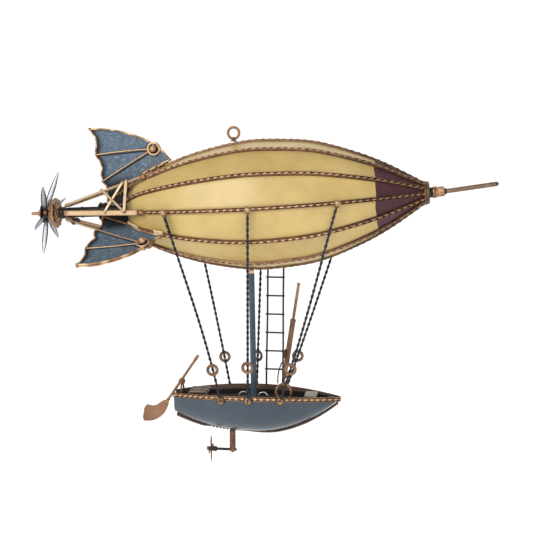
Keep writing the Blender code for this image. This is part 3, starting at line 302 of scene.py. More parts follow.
def piece(name, form, finish, *nodes, body="frame", sharp=38):
    """Makes the mesh, smooth but for its sharp edges, and puts it on its body in place of its solids."""
    mesh = bpy.data.meshes.new(name)
    points = np.concatenate(form.points)
    if form.bent:
        points = bow(points)
    mesh.from_pydata(points * MM, [], form.faces)
    for label, values in form.layers.items():
        mesh.attributes.new(label, "FLOAT", "POINT").data.foreach_set("value", np.concatenate(values))
    work = bmesh.new()
    work.from_mesh(mesh)
    bmesh.ops.remove_doubles(work, verts=work.verts, dist=0.002 * MM)
    bmesh.ops.recalc_face_normals(work, faces=work.faces)
    work.to_mesh(mesh)
    work.free()
    mesh.polygons.foreach_set("use_smooth", [True] * len(mesh.polygons))
    mesh.set_sharp_from_angle(angle=math.radians(sharp))
    mesh.materials.append(tinted(finish))
    made = bpy.data.objects.new(name, mesh)
    bpy.context.scene.collection.objects.link(made)
    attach(made, body)
    if nodes:
        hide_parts(*nodes)
    return made


def grid(rows, columns, wrap_rows=False, wrap_columns=False, capped=False):
    """Faces of a grid of points, joined round or closed at both ends where that is asked for."""
    faces = []
    for i in range(rows if wrap_rows else rows - 1):
        below = (i + 1) % rows
        for j in range(columns if wrap_columns else columns - 1):
            k = (j + 1) % columns
            faces.append((i * columns + j, i * columns + k, below * columns + k, below * columns + j))
    if capped:
        faces += [tuple(range(columns)), tuple(range((rows - 1) * columns, rows * columns))]
    return faces


def look_along(start, end):
    """A matrix whose Z runs from start to end, at start."""
    direction = Vector(end) - Vector(start)
    return Matrix.Translation(Vector(start)) @ direction.to_track_quat("Z", "Y").to_matrix().to_4x4()


def turned(form, profile, place=None, sides=32, lobes=None):
    """Turns rows of height, radius and darkness about local Z, with the ends closed. The darkness at steps
    and rims is patina and painted shade, and below nothing a painted highlight.
    """
    rows = [(*row, 0.0) if len(row) == 2 else row for row in profile]
    around = circle(sides)
    points, dark = [], []
    for height, radius, shade in rows:
        reach = radius * (1 + lobes(around)) if lobes else np.full(sides, radius)
        points.append(np.stack([reach * np.cos(around), reach * np.sin(around), np.full(sides, height)], 1))
        dark.append(np.full(sides, shade))
    faces = grid(len(rows), sides, wrap_columns=True, capped=True)
    grain = np.tile(around * 2.5, len(rows))
    return form.add(np.concatenate(points), faces, np.concatenate(dark), grain, place)


def spun(name, finish, node, profile, place, sides=32, bent=False, **more):
    """A piece that is turned as a whole."""
    return piece(name, turned(Form(bent), profile, place, sides), finish, node, **more)


def ball(form, center, radius, flat=1.0, place=None, sides=20, dark=0.0):
    angles = np.linspace(-math.pi / 2, math.pi / 2, sides // 2 + 1)
    rows = [(radius * flat * math.sin(a), max(0.01, radius * math.cos(a)), dark) for a in angles]
    spot = Matrix.Translation(Vector(center))
    return turned(form, rows, spot if place is None else place @ spot, sides)


def frames_along(path, closed=False, up=None):
    path = np.asarray(path, float)
    if closed:
        ahead = unit(np.roll(path, -1, 0) - np.roll(path, 1, 0))
    else:
        ahead = unit(np.gradient(path, axis=0))
    if up is not None:
        ups = np.broadcast_to(np.asarray(up, float), path.shape)
        ups = unit(ups - ahead * np.sum(ups * ahead, 1, keepdims=True))
    else:
        guess = np.eye(3)[np.argmin(np.abs(ahead[0]))]
        rows = []
        for tangent in ahead:
            guess = unit(guess - tangent * (guess @ tangent))
            rows.append(guess)
        ups = np.array(rows)
    return ahead, np.cross(ahead, ups), ups


def sweep(form, path, section, closed=False, up=None, scale=1.0, dark=0.0, grain=None, place=None):
    """Sweeps a closed section, rows of across and up, along a path."""
    path = np.asarray(path, float)
    section = np.asarray(section, float)
    _, side, ups = frames_along(path, closed, up)
    scale = np.broadcast_to(scale, len(path))[:, None, None]
    points = path[:, None] + (side[:, None] * section[:, :1] + ups[:, None] * section[:, 1:]) * scale
    faces = grid(len(path), len(section), closed, True, capped=not closed)
    lines = np.tile(section[:, 0] * 2.0, len(path)) if grain is None else grain
    return form.add(points, faces, dark, lines, place)


def ring_section(radius, sides=10):
    around = circle(sides)
    return np.stack([radius * np.cos(around), radius * np.sin(around)], 1)


def tube(form, path, radius, sides=10, **more):
    """A round wire along a path, thicker or thinner on the way where radius is a list."""
    radius = np.asarray(radius, float)
    scale = radius / radius.max()
    return sweep(form, path, ring_section(float(radius.max()), sides), scale=scale, **more)


def strip_section(width, height, edge=0.35):
    """A flat bar's section with eased edges."""
    w, h = width / 2, height / 2
    e = min(edge, h * 0.9)
    return [
        (-w + e, -h), (w - e, -h), (w, -h + e), (w, h - e), (w - e, h), (-w + e, h), (-w, h - e),
        (-w, -h + e),
    ]


def block(form, size, place, ease=0.4, dark=0.0):
    """A box with eased edges, its brush strokes along local X."""
    work = bmesh.new()
    bmesh.ops.create_cube(work, size=1.0)
    bmesh.ops.scale(work, vec=Vector(size), verts=work.verts)
    bmesh.ops.bevel(work, geom=work.edges[:], offset=ease, segments=2, affect="EDGES", profile=0.6)
    points = [tuple(v.co) for v in work.verts]
    faces = [tuple(v.index for v in f.verts) for f in work.faces]
    work.free()
    return form.add(points, faces, dark, [p[1] * 2.0 for p in points], place)


def flat_bar(form, length, width, height, place, line=0.9, ease=0.4):
    """A flat bar along local X, bright on its faces and with painted shade along its rims and ends."""
    w, h = width / 2, height / 2
    flat, edge = w - ease - line, w - ease
    section = [
        (-flat, -h), (flat, -h), (edge, -h), (w, -h + ease), (w, h - ease), (edge, h), (flat, h), (-flat, h),
        (-edge, h), (-w, h - ease), (-w, -h + ease), (-edge, -h),
    ]
    shade = [0, 0, 0.65, 0.8, 0.8, 0.65, 0, 0, 0.65, 0.8, 0.8, 0.65]
    rows = 14
    path = np.outer(np.linspace(-length / 2, length / 2, rows), (1, 0, 0))
    dark = np.tile(shade, rows)
    dark[:len(shade)] = dark[-len(shade):] = 0.7
    return sweep(form, path, section, up=(0, 0, 1), dark=dark, place=place)


def slab(form, outline, thickness, place, ease=0.2, dark=0.0):
    """A flat outline in local X and Y, with eased rims on both faces."""
    outline = np.asarray(outline, float)
    middle = outline.mean(0)
    inner = outline + unit(middle - outline) * ease
    half = thickness / 2
    layers = [(inner, -half), (outline, -half + ease), (outline, half - ease), (inner, half)]
    points = np.concatenate([np.column_stack([ring, np.full(len(ring), z)]) for ring, z in layers])
    faces = grid(len(layers), len(outline), wrap_columns=True, capped=True)
    return form.add(points, faces, dark, points[:, 1] * 2.0, place)


def washer(form, center, facing, outer, inner, thickness, dark=0.0):
    """A flat ring with eased rims, open in the middle."""
    facing = unit(facing)
    sides = 40
    around = circle(sides)
    loop = placed(
        np.stack([np.cos(around), np.sin(around), 0 * around], 1) * (outer + inner) / 2,
        look_along(center, np.asarray(center) + facing),
    )
    section = strip_section(outer - inner, thickness, 0.6)
    # Painted shade darkens its rims.
    rims = np.array([0.0, 0.0, 0.8, 0.8, 0.0, 0.0, 0.8, 0.8])
    return sweep(form, loop, section, closed=True, up=facing, dark=np.tile(np.maximum(rims, dark), sides))


def spline_value(points, x):
    """Catmull-Rom through the given points."""
    table = np.asarray(points, float)
    gaps = np.diff(table, axis=0)
    slopes = np.concatenate([
        [gaps[0, 1] / gaps[0, 0]],
        (table[2:, 1] - table[:-2, 1]) / (table[2:, 0] - table[:-2, 0]),
        [gaps[-1, 1] / gaps[-1, 0]],
    ])
    x = np.asarray(x, float)
    i = np.clip(np.searchsorted(table[:, 0], x) - 1, 0, len(table) - 2)
    h = gaps[i, 0]
    t = (x - table[i, 0]) / h
    return (
        (2 * t**3 - 3 * t**2 + 1) * table[i, 1] + (t**3 - 2 * t**2 + t) * h * slopes[i]
        + (3 * t**2 - 2 * t**3) * table[i + 1, 1] + (t**3 - t**2) * h * slopes[i + 1]
    )


RIB_OUTER_PROFILE = [
    (-125, 29.0), (-107, 43.3), (-70, 58.8), (-30, 70.2), (20, 78.2), (60, 77.3), (100, 72.2), (140, 59.2),
    (180, 41.3), (226, 13.8),
]
RIB_HEIGHT = 2.7


def rib_radius(station):
    return spline_value(RIB_OUTER_PROFILE, station)


def polar(station, radius, degrees):
    angle = np.radians(degrees)
    rows = np.broadcast_arrays(station, -radius * np.cos(angle), radius * np.sin(angle))
    return np.stack(rows, -1).astype(float)


def on_axis(station, radius, degrees):
    return placed(polar(station, radius, degrees), AXIS)


def axis_turn():
    """Local Z along the envelope's axis, so that a turned piece's heights are stations."""
    return Matrix(AXIS.tolist()) @ TO_X


def tail_place():
    """The straight axis of the pin, from the bent envelope's rim aft."""
    level = Matrix.Rotation(math.atan(2 * BEND * (BEND_STATION - TAIL_RIM)), 4, "Y")
    rim = Matrix.Translation((TAIL_RIM, 0, float(axis_rise(TAIL_RIM))))
    return Matrix(AXIS.tolist()) @ rim @ level @ Matrix.Translation((-TAIL_RIM, 0, 0))


def tail_turn():
    return tail_place() @ TO_X


def ribbon(form, path, up, half, rise, pitch, base=-1.0, tilt=0.22, glint=0.8, darkening=0.0):
    """A pressed strip: raised rims, grooves dark with patina and painted shade, and a row of slanting
    lozenge beads along its middle, with painted highlights on the crests and rims.
    """
    path = np.asarray(path, float)
    darkening = np.broadcast_to(darkening, len(path))
    up = np.broadcast_to(np.asarray(up, float), path.shape)
    length = lengths(path)
    count = int(length[-1] / pitch * 10) + 1
    run = np.linspace(0, length[-1], count)
    path, up = resampled(path, length, run), resampled(up, length, run)
    darkening = np.interp(run, length, darkening)[:, None]
    _, side, ups = frames_along(path, False, up)
    across = np.array([-1, -1, -0.9, -0.76, -0.66, -0.44, -0.22, 0, 0.22, 0.44, 0.66, 0.76, 0.9, 1, 1])
    floor = np.array([0, 0.58, 0.72, 0.66, 0.30, 0.36, 0.40, 0.42, 0.40, 0.36, 0.30, 0.66, 0.72, 0.58, 0])
    inner = np.abs(across) < 0.62
    phase = (run[:, None] / pitch + tilt * across[None]) % 1.0
    lozenge = 1.05 - 1.15 * np.abs(2 * phase - 1) - (np.abs(across[None]) / 0.68) ** 1.8
    bead = np.clip(lozenge, 0, 1) ** 0.5 * inner
    height = floor + bead * (1 - floor)
    # Patina and painted shade darken the grooves, and painted highlights light the bead crests.
    dark = np.clip(1.0 - (height - 0.30) / 0.30, 0, 1) * 0.85
    dark = np.where(bead > 0.6, -(bead - 0.6) / 0.4 * glint, dark)
    # Painted highlights run unevenly along the raised rims.
    rim_glint = np.clip(np.sin(run * 0.9) * np.sin(run * 0.37 + 1.3), 0, 1) * 0.5
    for column in (2, -3):
        dark[:, column] = -rim_glint * glint
    # Painted shade darkens the strip's outer edges.
    dark[:, [0, 1, -2, -1]] = 0.55
    dark = np.where(dark < 0, dark * (1 - darkening), dark + darkening * (1 - dark) * 0.6)
    height = height * rise
    height[:, [0, -1]] = base
    sideways = side[:, None] * (across * half)[:, None]
    points = path[:, None] + sideways + ups[:, None] * height[:, :, None]
    return form.add(points, grid(count, len(across), wrap_columns=True, capped=True), dark)


def make_skin():
    gore, parts = 30, 6
    degrees = np.arange(360 // gore * parts) * gore / parts
    within = (degrees % gore) - gore / 2
    flat = math.cos(math.radians(gore / 2)) / np.cos(np.radians(within))
    round_share = 0.22
    shape = flat + (1 - flat) * round_share
    near_rib = np.clip((np.abs(within) - 10) / 5, 0, 1)

    def skin_row(station, lift=0.0):
        return polar(station, (rib_radius(station) - RIB_HEIGHT - GAP + lift) * shape, degrees)

    stations = np.concatenate([[-124.6], np.linspace(-122, 173, 90)])
    # Painted shade darkens the skin where it turns into the tail rim, and the gores beside each rib.
    shades = np.interp(stations, [-125, -121, -119, 160, 172], [0.75, 0.45, 0.06, 0.0, 0.06])
    points = [skin_row(s) for s in stations]
    dark = np.clip(shades[:, None] + 0.22 * near_rib**3, 0, 1)
    hollow = [
        (-111.2, 2.0, 1), (-111.2, 22.8, 1), (-122, 22.9, 0.98), (-124.4, 23.2, 0.7), (-125.1, 24.2, 0.2),
    ]
    points = np.concatenate([[polar(s, radius, degrees) for s, radius, _ in hollow], points])
    dark = np.concatenate([[np.full(len(degrees), shade) for _, _, shade in hollow], dark])
    cream = Form(bent=True)
    faces = grid(len(points), len(degrees), wrap_columns=True)
    cream.add(points, faces, dark, place=AXIS)
    piece("envelope_cream", cream, "cream", "envelope")
    # The maroon nose is painted over the cream with a hand-cut edge.
    rows = []
    for share in np.linspace(0, 1, 26):
        wave = 0.55 * np.sin(np.radians(degrees * 5)) + 0.4 * np.sin(np.radians(degrees * 11 + 40))
        s = (171 + wave) * (1 - share) + 226.2 * share
        rows.append(skin_row(s, 0.10))
    nose = Form(bent=True)
    faces = grid(len(rows), len(degrees), wrap_columns=True)
    # The same painted shade lies beside each rib on the nose.
    nose.add(np.array(rows), faces, np.tile(0.2 * near_rib, len(rows)), place=AXIS)
    piece("envelope_nose", nose, "maroon", "envelope")


def make_ribs():
    for degrees in range(0, 360, 30):
        start = -96.4 if degrees % 60 == 0 else TAIL_RIM
        s = np.linspace(start, 225.5, 240)
        radius = rib_radius(s)
        slope = np.gradient(radius, s)
        base = polar(s, radius - RIB_HEIGHT, degrees)
        outward = unit(polar(0, np.ones(len(s)), degrees) - np.outer(slope, (1, 0, 0)))
        form = Form(bent=True)
        # The ribs are drawn darker towards the nose.
        darkening = np.clip((s - 120) / 45, 0, 0.9)
        ribbon(form, placed(base, AXIS), outward @ AXIS[:3, :3].T, 2.3, RIB_HEIGHT, 8.2, darkening=darkening)
        piece(f"strip_{degrees:03d}", form, "copper", f"rib_{degrees:03d}", sharp=50)


def make_nose():
    turn = axis_turn()
    spun("collar_rings", "old_copper", "nose_collar", [
        (226.3, 13.2, 0.5), (226.6, 13.9), (227.6, 14.2), (228.4, 13.9), (228.8, 13.3, 0.8),
        (229.2, 13.3, 0.6), (229.6, 13.5), (231.2, 13.2), (232.0, 12.4), (232.3, 11.2), (232.2, 8.4, 0.5),
        (231.6, 7.6, 0.9),
    ], turn, 48, bent=True)
    spun("neck_dark", "black", "nose_boss", [
        (231.4, 6.6, 0.6), (232.6, 6.2, 0.4), (234.4, 5.9, 0.2), (236.0, 6.2, 0.6),
    ], turn, bent=True)
    band = Form(bent=True)
    turned(band, [
        (235.8, 5.6, 0.8), (236.0, 6.6), (236.6, 6.9), (238.0, 6.9), (238.3, 6.5, 0.8), (238.7, 6.5, 0.8),
        (239.0, 6.9), (240.4, 6.8), (241.0, 6.2, 0.4), (241.1, 5.0, 0.9), (241.9, 4.6, 1.0),
    ], turn)
    tilt = turn @ Matrix.Translation((0, 0, 240.4)) @ Matrix.Rotation(math.radians(-2.2), 4, "Y")
    corner = 10.2 / 2 / math.cos(math.pi / 6)
    turned(band, [
        (0, corner * 0.86, 0.5), (0.5, corner * 0.99), (8.3, corner), (9.0, corner * 0.9), (9.1, 3.4, 0.6),
        (8.3, 3.0, 1),
    ], tilt, 6)
    piece("band_and_nut", band, "copper", "nose_boss")
    spun("rod_seal", "black", "nose_boss", [
        (249.3, 3.6), (249.7, 3.8), (251.4, 3.6), (251.8, 3.0),
    ], turn, bent=True)
    ahead = math.radians(3.4)
    rod_place = turn @ Matrix.Translation((0, 0, 250)) @ Matrix.Rotation(-ahead, 4, "Y")
    spun("rod", "rose_brass", "nose_rod", [
        (0, 2.5, 0.7), (2.2, 2.6, 0.3), (3.0, 2.7), (30, 2.75), (57.6, 2.7), (58.6, 2.6, 0.7),
        (60.0, 2.3, 0.5), (61.0, 1.7), (61.5, 0.7, 0.6),
    ], rod_place, 24, bent=True)


def make_ring():
    ring = Form()
    radius, wire = 6.7, 1.65
    tube(ring, upright_loop(radius, 64), wire, 14, closed=True)
    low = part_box("hanging_ring")[0].z / MM
    spot = Matrix.Translation((0, 0, low))
    turned(ring, [
        (-0.6, 3.9, 0.6), (0.2, 3.7), (0.9, 3.0), (1.6, 2.2), (2.4, 1.9), (2.8, 2.5, 0.4), (3.6, 2.7),
        (4.4, 1.9), (4.9, 1.0),
    ], spot, 28)
    piece("ring", ring, "copper", "hanging_ring")


FIN_ANGLES = {"top": 90, "near": -30, "far": 210}
TOP_FIN = {
    "tip": (-170.2, 100.3),
    "leading": [
        (-157.8, 99.8), (-145.4, 98.4), (-138.1, 97.0), (-127.1, 94.1), (-115.0, 90.1), (-103.0, 85.0),
        (-96.5, 80.9),
    ],
    "front": [(-84.8, 72.2), (-79.7, 66.6)],
    "corner": (-74.0, 59.5),
    "heel": (-155.5, 11.5),
    "trailing": [
        (-154.4, 26.0), (-155.1, 29.6), (-157.3, 33.4), (-159.5, 36.7), (-160.4, 44.4), (-159.1, 50.5),
        (-159.1, 55.9), (-160.6, 60.2), (-163.4, 65.2), (-165.2, 69.1), (-165.2, 72.5), (-164.4, 77.3),
        (-163.2, 84.5), (-164.0, 89.4), (-167.1, 94.9),
    ],
    "cusps": [(-159.5, 36.7), (-165.2, 69.1)],
    "boss": (-93.0, 73.4),
}
SIDE_FIN = {
    "tip": (-168.5, 109.4),
    "leading": [
        (-153.3, 109.1), (-142.0, 106.7), (-131.2, 102.4), (-120.6, 97.1), (-110.2, 90.5), (-102.2, 83.1),
    ],
    "front": [(-89.9, 70.0), (-85.7, 63.7)],
    "corner": (-80.1, 58.5),
    "heel": (-159.5, 13.5),
    "trailing": [
        (-158.6, 20.8), (-156.7, 29.4), (-158.1, 36.6), (-160.6, 40.6), (-162.0, 43.7), (-162.5, 47.8),
        (-160.4, 53.6), (-158.9, 57.7), (-161.5, 64.0), (-164.5, 71.9), (-165.4, 78.4), (-164.0, 87.6),
        (-163.4, 96.3), (-165.7, 103.9),
    ],
    "cusps": [(-160.6, 40.6), (-165.4, 78.4)],
    "boss": (-99.0, 70.6),
}
FIN_SHAPES = {"top": TOP_FIN, "near": SIDE_FIN, "far": SIDE_FIN}
FIN_STRAPS = {
    "top": ((-4.8, 4.8), [(-98, -92), (-88.5, -82)]),
    "near": ((4.4,), [(-124.5, -109.5), (-88.5, -77.5)]),
    "far": ((-4.4,), [(-124.5, -109.5), (-88.5, -77.5)]),
}


def eased(points, sharp, count):
    """A line through the points, curved but for the sharp ones."""
    points = np.asarray(points, float)
    result = []
    for i in range(len(points) - 1):
        p0 = points[i - 1] if i and i not in sharp else points[i]
        p1, p2 = points[i], points[i + 1]
        p3 = points[i + 2] if i + 2 < len(points) and i + 1 not in sharp else points[i + 1]
        for t in np.arange(count) / count:
            square = (2 * p0 - 5 * p1 + 4 * p2 - p3) * t**2
            cube = (3 * p1 - p0 - 3 * p2 + p3) * t**3
            result.append(0.5 * (2 * p1 + (p2 - p0) * t + square + cube))
    result.append(points[-1])
    return np.array(result)


def fin_edges(shape):
    front = [shape["tip"]] + shape["leading"] + shape["front"] + [shape["corner"]]
    leading = eased(front, {0, len(front) - 1}, 4)
    s = np.linspace(shape["corner"][0] - 2, TAIL_RIM, 14)
    root = np.concatenate([[shape["corner"]], np.column_stack([s, rib_radius(s) + 1.8]), [shape["heel"]]])
    line = [shape["heel"]] + shape["trailing"] + [shape["tip"]]
    sharp = {0, len(line) - 1} | {line.index(cusp) for cusp in shape["cusps"]}
    return leading, root, eased(line, sharp, 4)


def fin_plane(degrees):
    angle = math.radians(degrees)
    plane = Matrix.Identity(4)
    plane.col[1][:3] = (0, -math.cos(angle), math.sin(angle))
    plane.col[2][:3] = Vector((1, 0, 0)).cross(Vector(plane.col[1][:3]))
    return Matrix(AXIS.tolist()) @ plane


def make_fin_sheet(side, shape, place, edges):
    leading, root, trailing = edges
    tucked = root.copy()
    on_rib = slice(1, len(root) - 1)
    tucked[on_rib, 1] = rib_radius(root[on_rib, 0]) - 1.2
    outline = np.concatenate([leading[:-1], root[:1], tucked[1:-1], trailing[:-1]])
    outline = np.vstack([outline, outline[:1]])
    length = lengths(outline)
    loop = resampled(outline, length, np.linspace(0, length[-1], 241)[:-1])
    boss = np.array(shape["boss"])
    shares = (0.02, 0.1, 0.2, 0.3, 0.4, 0.5, 0.6, 0.7, 0.8, 0.86, 0.90, 0.935, 0.96, 0.985)
    flat = np.array([boss + (loop - boss) * t for t in shares])
    dent = 0.30 * np.sin(flat[..., 0] * 0.21 + 1) * np.sin(flat[..., 1] * 0.17 + 2)
    dent += 0.12 * np.sin(flat[..., 0] * 0.63)
    toward = flat - boss
    reach = np.linalg.norm(toward, axis=-1)
    angle = np.arctan2(toward[..., 1], toward[..., 0])
    grain = angle * 26 + np.sin(reach * 0.11 + angle * 3) * 0.5
    stroke = reach * 0.16
    offs = []
    for cusp in shape["cusps"]:
        way = unit(np.array(cusp) - boss)
        offs.append((toward[..., 0] * way[1] - toward[..., 1] * way[0]) * (-1 if side == "top" else 1))
    # Its brush strokes catch the light, most of all between the root and the first batten.
    rootward = offs[0] > 2 if side == "top" else offs[0] < -2
    glow = np.where(rootward, 1.0, 0.5)
    bands = 0.35 + 0.65 * np.clip(np.sin(reach * 0.055 + 0.3), 0, 1)
    shade = -glow * bands * (0.6 + 0.4 * np.sin(angle * 9 + 2))
    # Painted shade rings the boss and borders the outline beside the wires.
    shade = np.where(reach < 9.8, np.clip(1.0 - (reach - 9.0) / 0.8, 0, 1) * 0.9, shade)
    shade[-4:] = np.array([0.1, 0.5, 0.85, 0.95])[:, None]
    # The heel, the part tucked along the rib and a line beside each batten are painted in shade.
    tail_end = np.clip((45 - flat[..., 1]) / 14, 0, 1) * np.clip((-118 - flat[..., 0]) / 12, 0, 1)
    above = flat[..., 1] - rib_radius(np.clip(flat[..., 0], TAIL_RIM, None))
    tuck = np.clip((3.4 - above) / 0.8, 0, 1) * (flat[..., 0] > TAIL_RIM)
    painted_shade = np.maximum(tail_end, tuck) * 0.97
    for off in offs:
        painted_shade = np.maximum(painted_shade, np.clip(1 - (np.abs(off - 1.6) - 0.7) / 0.6, 0, 1) * 0.95 * (reach > 8))
    shade = np.where(painted_shade > 0.02, np.maximum(shade, painted_shade), shade)
    sheet = Form(bent=True)
    half = 0.42
    for face in (-1, 1):
        points = np.concatenate([flat, (dent + face * half)[..., None]], -1)
        faces = grid(len(shares), len(loop), wrap_columns=True)
        faces.append(tuple(range(len(loop))))
        sheet.add(points, faces, shade, grain, place, stroke)
    rim = np.array([np.column_stack([flat[-1], dent[-1] + lift]) for lift in (-half, half)])
    sheet.add(rim, grid(2, len(loop), wrap_columns=True), 0.9, 0.0, place)
    piece(f"fin_sheet_{side}", sheet, "fin", f"fin_{side}", sharp=60)
    # A black sheet closes the corner between the fin, the rim and the boom, in place of the fin's dark foot
    # and the shade over it.
    shade_sheet = Form(bent=True)
    heel_x, heel_y = shape["heel"]
    corners = [(heel_x + 0.5, 8.0), (-125.3, 8.0), (-125.3, 27.6), (heel_x + 0.5, heel_y + 0.4)]
    slab(shade_sheet, corners, 0.8, place)
    piece(f"fin_gusset_{side}", shade_sheet, "black", f"fin_{side}")


def make_fin_frame(side, degrees, shape, place, edges):
    boss = np.array(shape["boss"])
    wires, clips = Form(bent=True), Form(bent=True)
    for face in (-1, 1):
        def on_face(points):
            return np.column_stack([points, np.full(len(points), face * 1.25)])

        for line in edges:
            # Painted highlights dot the wires.
            wire_glints = np.clip(np.sin(np.arange(len(line)) * 0.8), 0, 1) * -0.8
            tube(wires, on_face(line), 1.1, place=place, dark=np.repeat(wire_glints, 10))
        for cusp in shape["cusps"]:
            end = np.array(cusp) + unit(np.array(cusp) - boss) * 1.2
            share = np.linspace(0, 1, 12)[:, None]
            sag = np.sin(share * math.pi) * np.array([0.4, 0.9])
            tube(wires, on_face(straight(boss, end, share) + sag), 0.95, place=place, dark=-0.35)
            ball(wires, (*cusp, face * 1.2), 1.5, place=place, sides=12)
        ball(wires, (*shape["tip"], face * 1.2), 1.9, place=place, sides=14)
        ball(wires, (*shape["corner"], face * 1.2), 1.5, place=place, sides=12)
        # The boss carries painted highlights on its rim and ball, and painted shade in its step.
        stand = place @ Matrix.Translation((*boss, 0)) @ Matrix.Scale(face, 4, (0, 0, 1))
        turned(wires, [
            (0.6, 8.0, 0.8), (1.1, 8.3, 0.2), (2.0, 8.3), (2.6, 7.8, -0.8), (2.7, 6.4, -0.4),
            (2.2, 5.6, 0.8), (1.6, 5.0, 1.0), (1.6, 2.0, 1.0),
        ], stand, 40)
        ball(wires, (0, 0, 4.9), 4.1, place=stand, sides=24, dark=-0.35)
    # Pale straps lie over the rib beside the root wire.
    lean, spans = FIN_STRAPS[side]
    for turn in lean:
        for aft, fore in spans:
            s = np.linspace(aft, fore, 8)
            outward = polar(0, 1, degrees + turn)
            line = polar(s, rib_radius(s) + 0.7, degrees + turn)
            sweep(clips, line, strip_section(4.4, 1.2), up=outward, place=AXIS, dark=-0.4)
            hook = [line[-1], line[-1] + 2.0 * np.cross((1, 0, 0), outward) * np.sign(turn)]
            tube(clips, hook, 0.9, place=AXIS, dark=0.3)
    piece(f"fin_wires_{side}", wires, "copper", f"fin_frame_{side}", sharp=60)
    piece(f"fin_clips_{side}", clips, "brass", f"fin_frame_{side}")


BAR_AFT, BAR_FORE = (-208, 10.0), (-102, 47.6)


def bar_point(share):
    return tuple(a + (b - a) * share for a, b in zip(BAR_AFT, BAR_FORE))


def bar_between(start, end, outward, facing):
    """Local X from start to end with local Z out or in, at the middle. Gives it with the bar's length."""
    ahead = unit(end - start)
    side = unit(np.cross(ahead, outward))
    matrix = np.eye(4)
    matrix[:3] = np.column_stack([ahead, side, facing * np.cross(side, ahead), (start + end) / 2])
    return Matrix((AXIS @ matrix).tolist()), apart(start, end)


def make_bars():
    for degrees in range(0, 360, 60):
        aft, fore = polar(*BAR_AFT, degrees), polar(*BAR_FORE, degrees)
        place, length = bar_between(aft, fore, polar(0, 1, degrees), -1)
        bar = Form(bent=True)
        flat_bar(bar, length + 1.2, 6.6, 2.3, place)
        for share in (0.546, 0.789):
            ball(bar, (length * (share - 0.5), 0, -1.3), 1.15, 0.6, place, 12)
        piece(f"bar_{degrees:03d}", bar, "brass", f"tail_bar_{degrees:03d}")
        ends = Form(bent=True)
        ball(ends, (length / 2, 0, 0), 4.0, 1, place, 24)
        spot = place @ Matrix.Translation((length / 2, 0, 0)) @ TO_X
        turned(ends, [(-4.4, 3.0, 0.9), (-4.0, 3.7), (-3.2, 3.7, -0.5), (-2.8, 3.0, 1.0)], spot, 24)
        low = degrees in (240, 300)
        if low:
            block(ends, (9.0, 5.4, 5.0), place @ Matrix.Translation((-length / 2 + 3.0, 0, 1.6)), 0.7, 0.1)
        piece(f"bar_end_{degrees:03d}", ends, "copper", f"tail_bar_{degrees:03d}")
        if low:
            spot = place @ Matrix.Translation((-length / 2 + 9.6, 0, 0.6)) @ Y_UP
            nut = [(-2.2, 2.6, 0.4), (-1.8, 3.6), (1.8, 3.6), (2.2, 2.6, 0.2)]
            spun(f"bar_nut_{degrees:03d}", "black", f"tail_bar_{degrees:03d}", nut, spot, 20, bent=True)


def make_braces():
    # Where each band starts and ends on its two bars, how far over the first it lies, and its width.
    bands = [(0.546, 0.742, 0.0, 3.0), (0.789, 0.487, 0.72, 3.0), (0.797, 0.793, 0.36, 3.8)]
    for middle, name in ((30, "near"), (150, "far"), (270, "low")):
        form = Form(bent=True)
        outward = polar(0, 1, middle)
        for low, high, over, width in bands:
            start = polar(*bar_point(low), middle - 30)
            end = polar(*bar_point(high), middle + 30)
            shift = outward * ((2.1 + over) / math.cos(math.radians(30)) + 1.15)
            place, between = bar_between(start + shift, end + shift, outward, 1)
            length = between + 4
            flat_bar(form, length, width + 0.2, 1.2, place, 0.6, 0.3)
            for end_x in (-length / 2 + 2.6, length / 2 - 2.6):
                ball(form, (end_x, 0, 0.5), 1.3, 0.7, place, 12)
        piece(f"brace_{name}", form, "brass", f"tail_brace_{name}")


def make_boom():
    turn = axis_turn()
    boom = Form(bent=True)
    turned(boom, [
        (-217.0, 5.6, 0.3), (-216.4, 7.0), (-214.0, 7.4), (-212.0, 7.2), (-211.2, 6.6, 0.5),
        (-210.9, 6.0, 0.8), (-208, 6.2), (-190, 6.3), (-189.6, 6.8), (-187.6, 6.8), (-187.2, 6.3),
        (-168, 6.3), (-166.2, 6.6, 0.8),
    ], turn, 32)
    turned(boom, [(-157, 7.2, 0.6), (-156, 7.8), (-112, 7.8), (-111.4, 7.0)], turn, 32)
    piece("boom", boom, "black", "tail_boom")
    spun("boom_collar", "black", "tail_boom", [
        (-166.2, 9.0, 0.6), (-166.0, 10.6, 0.1), (-165.2, 11.3), (-163.8, 11.1), (-163.2, 10.3, 0.8),
        (-160, 10.3, 0.7), (-159.4, 11.0), (-158, 11.2), (-157.2, 10.6), (-156.9, 9.0, 0.5),
    ], turn, 40, bent=True)


def petals(around):
    return -0.045 * (1 - np.cos(around * 12))


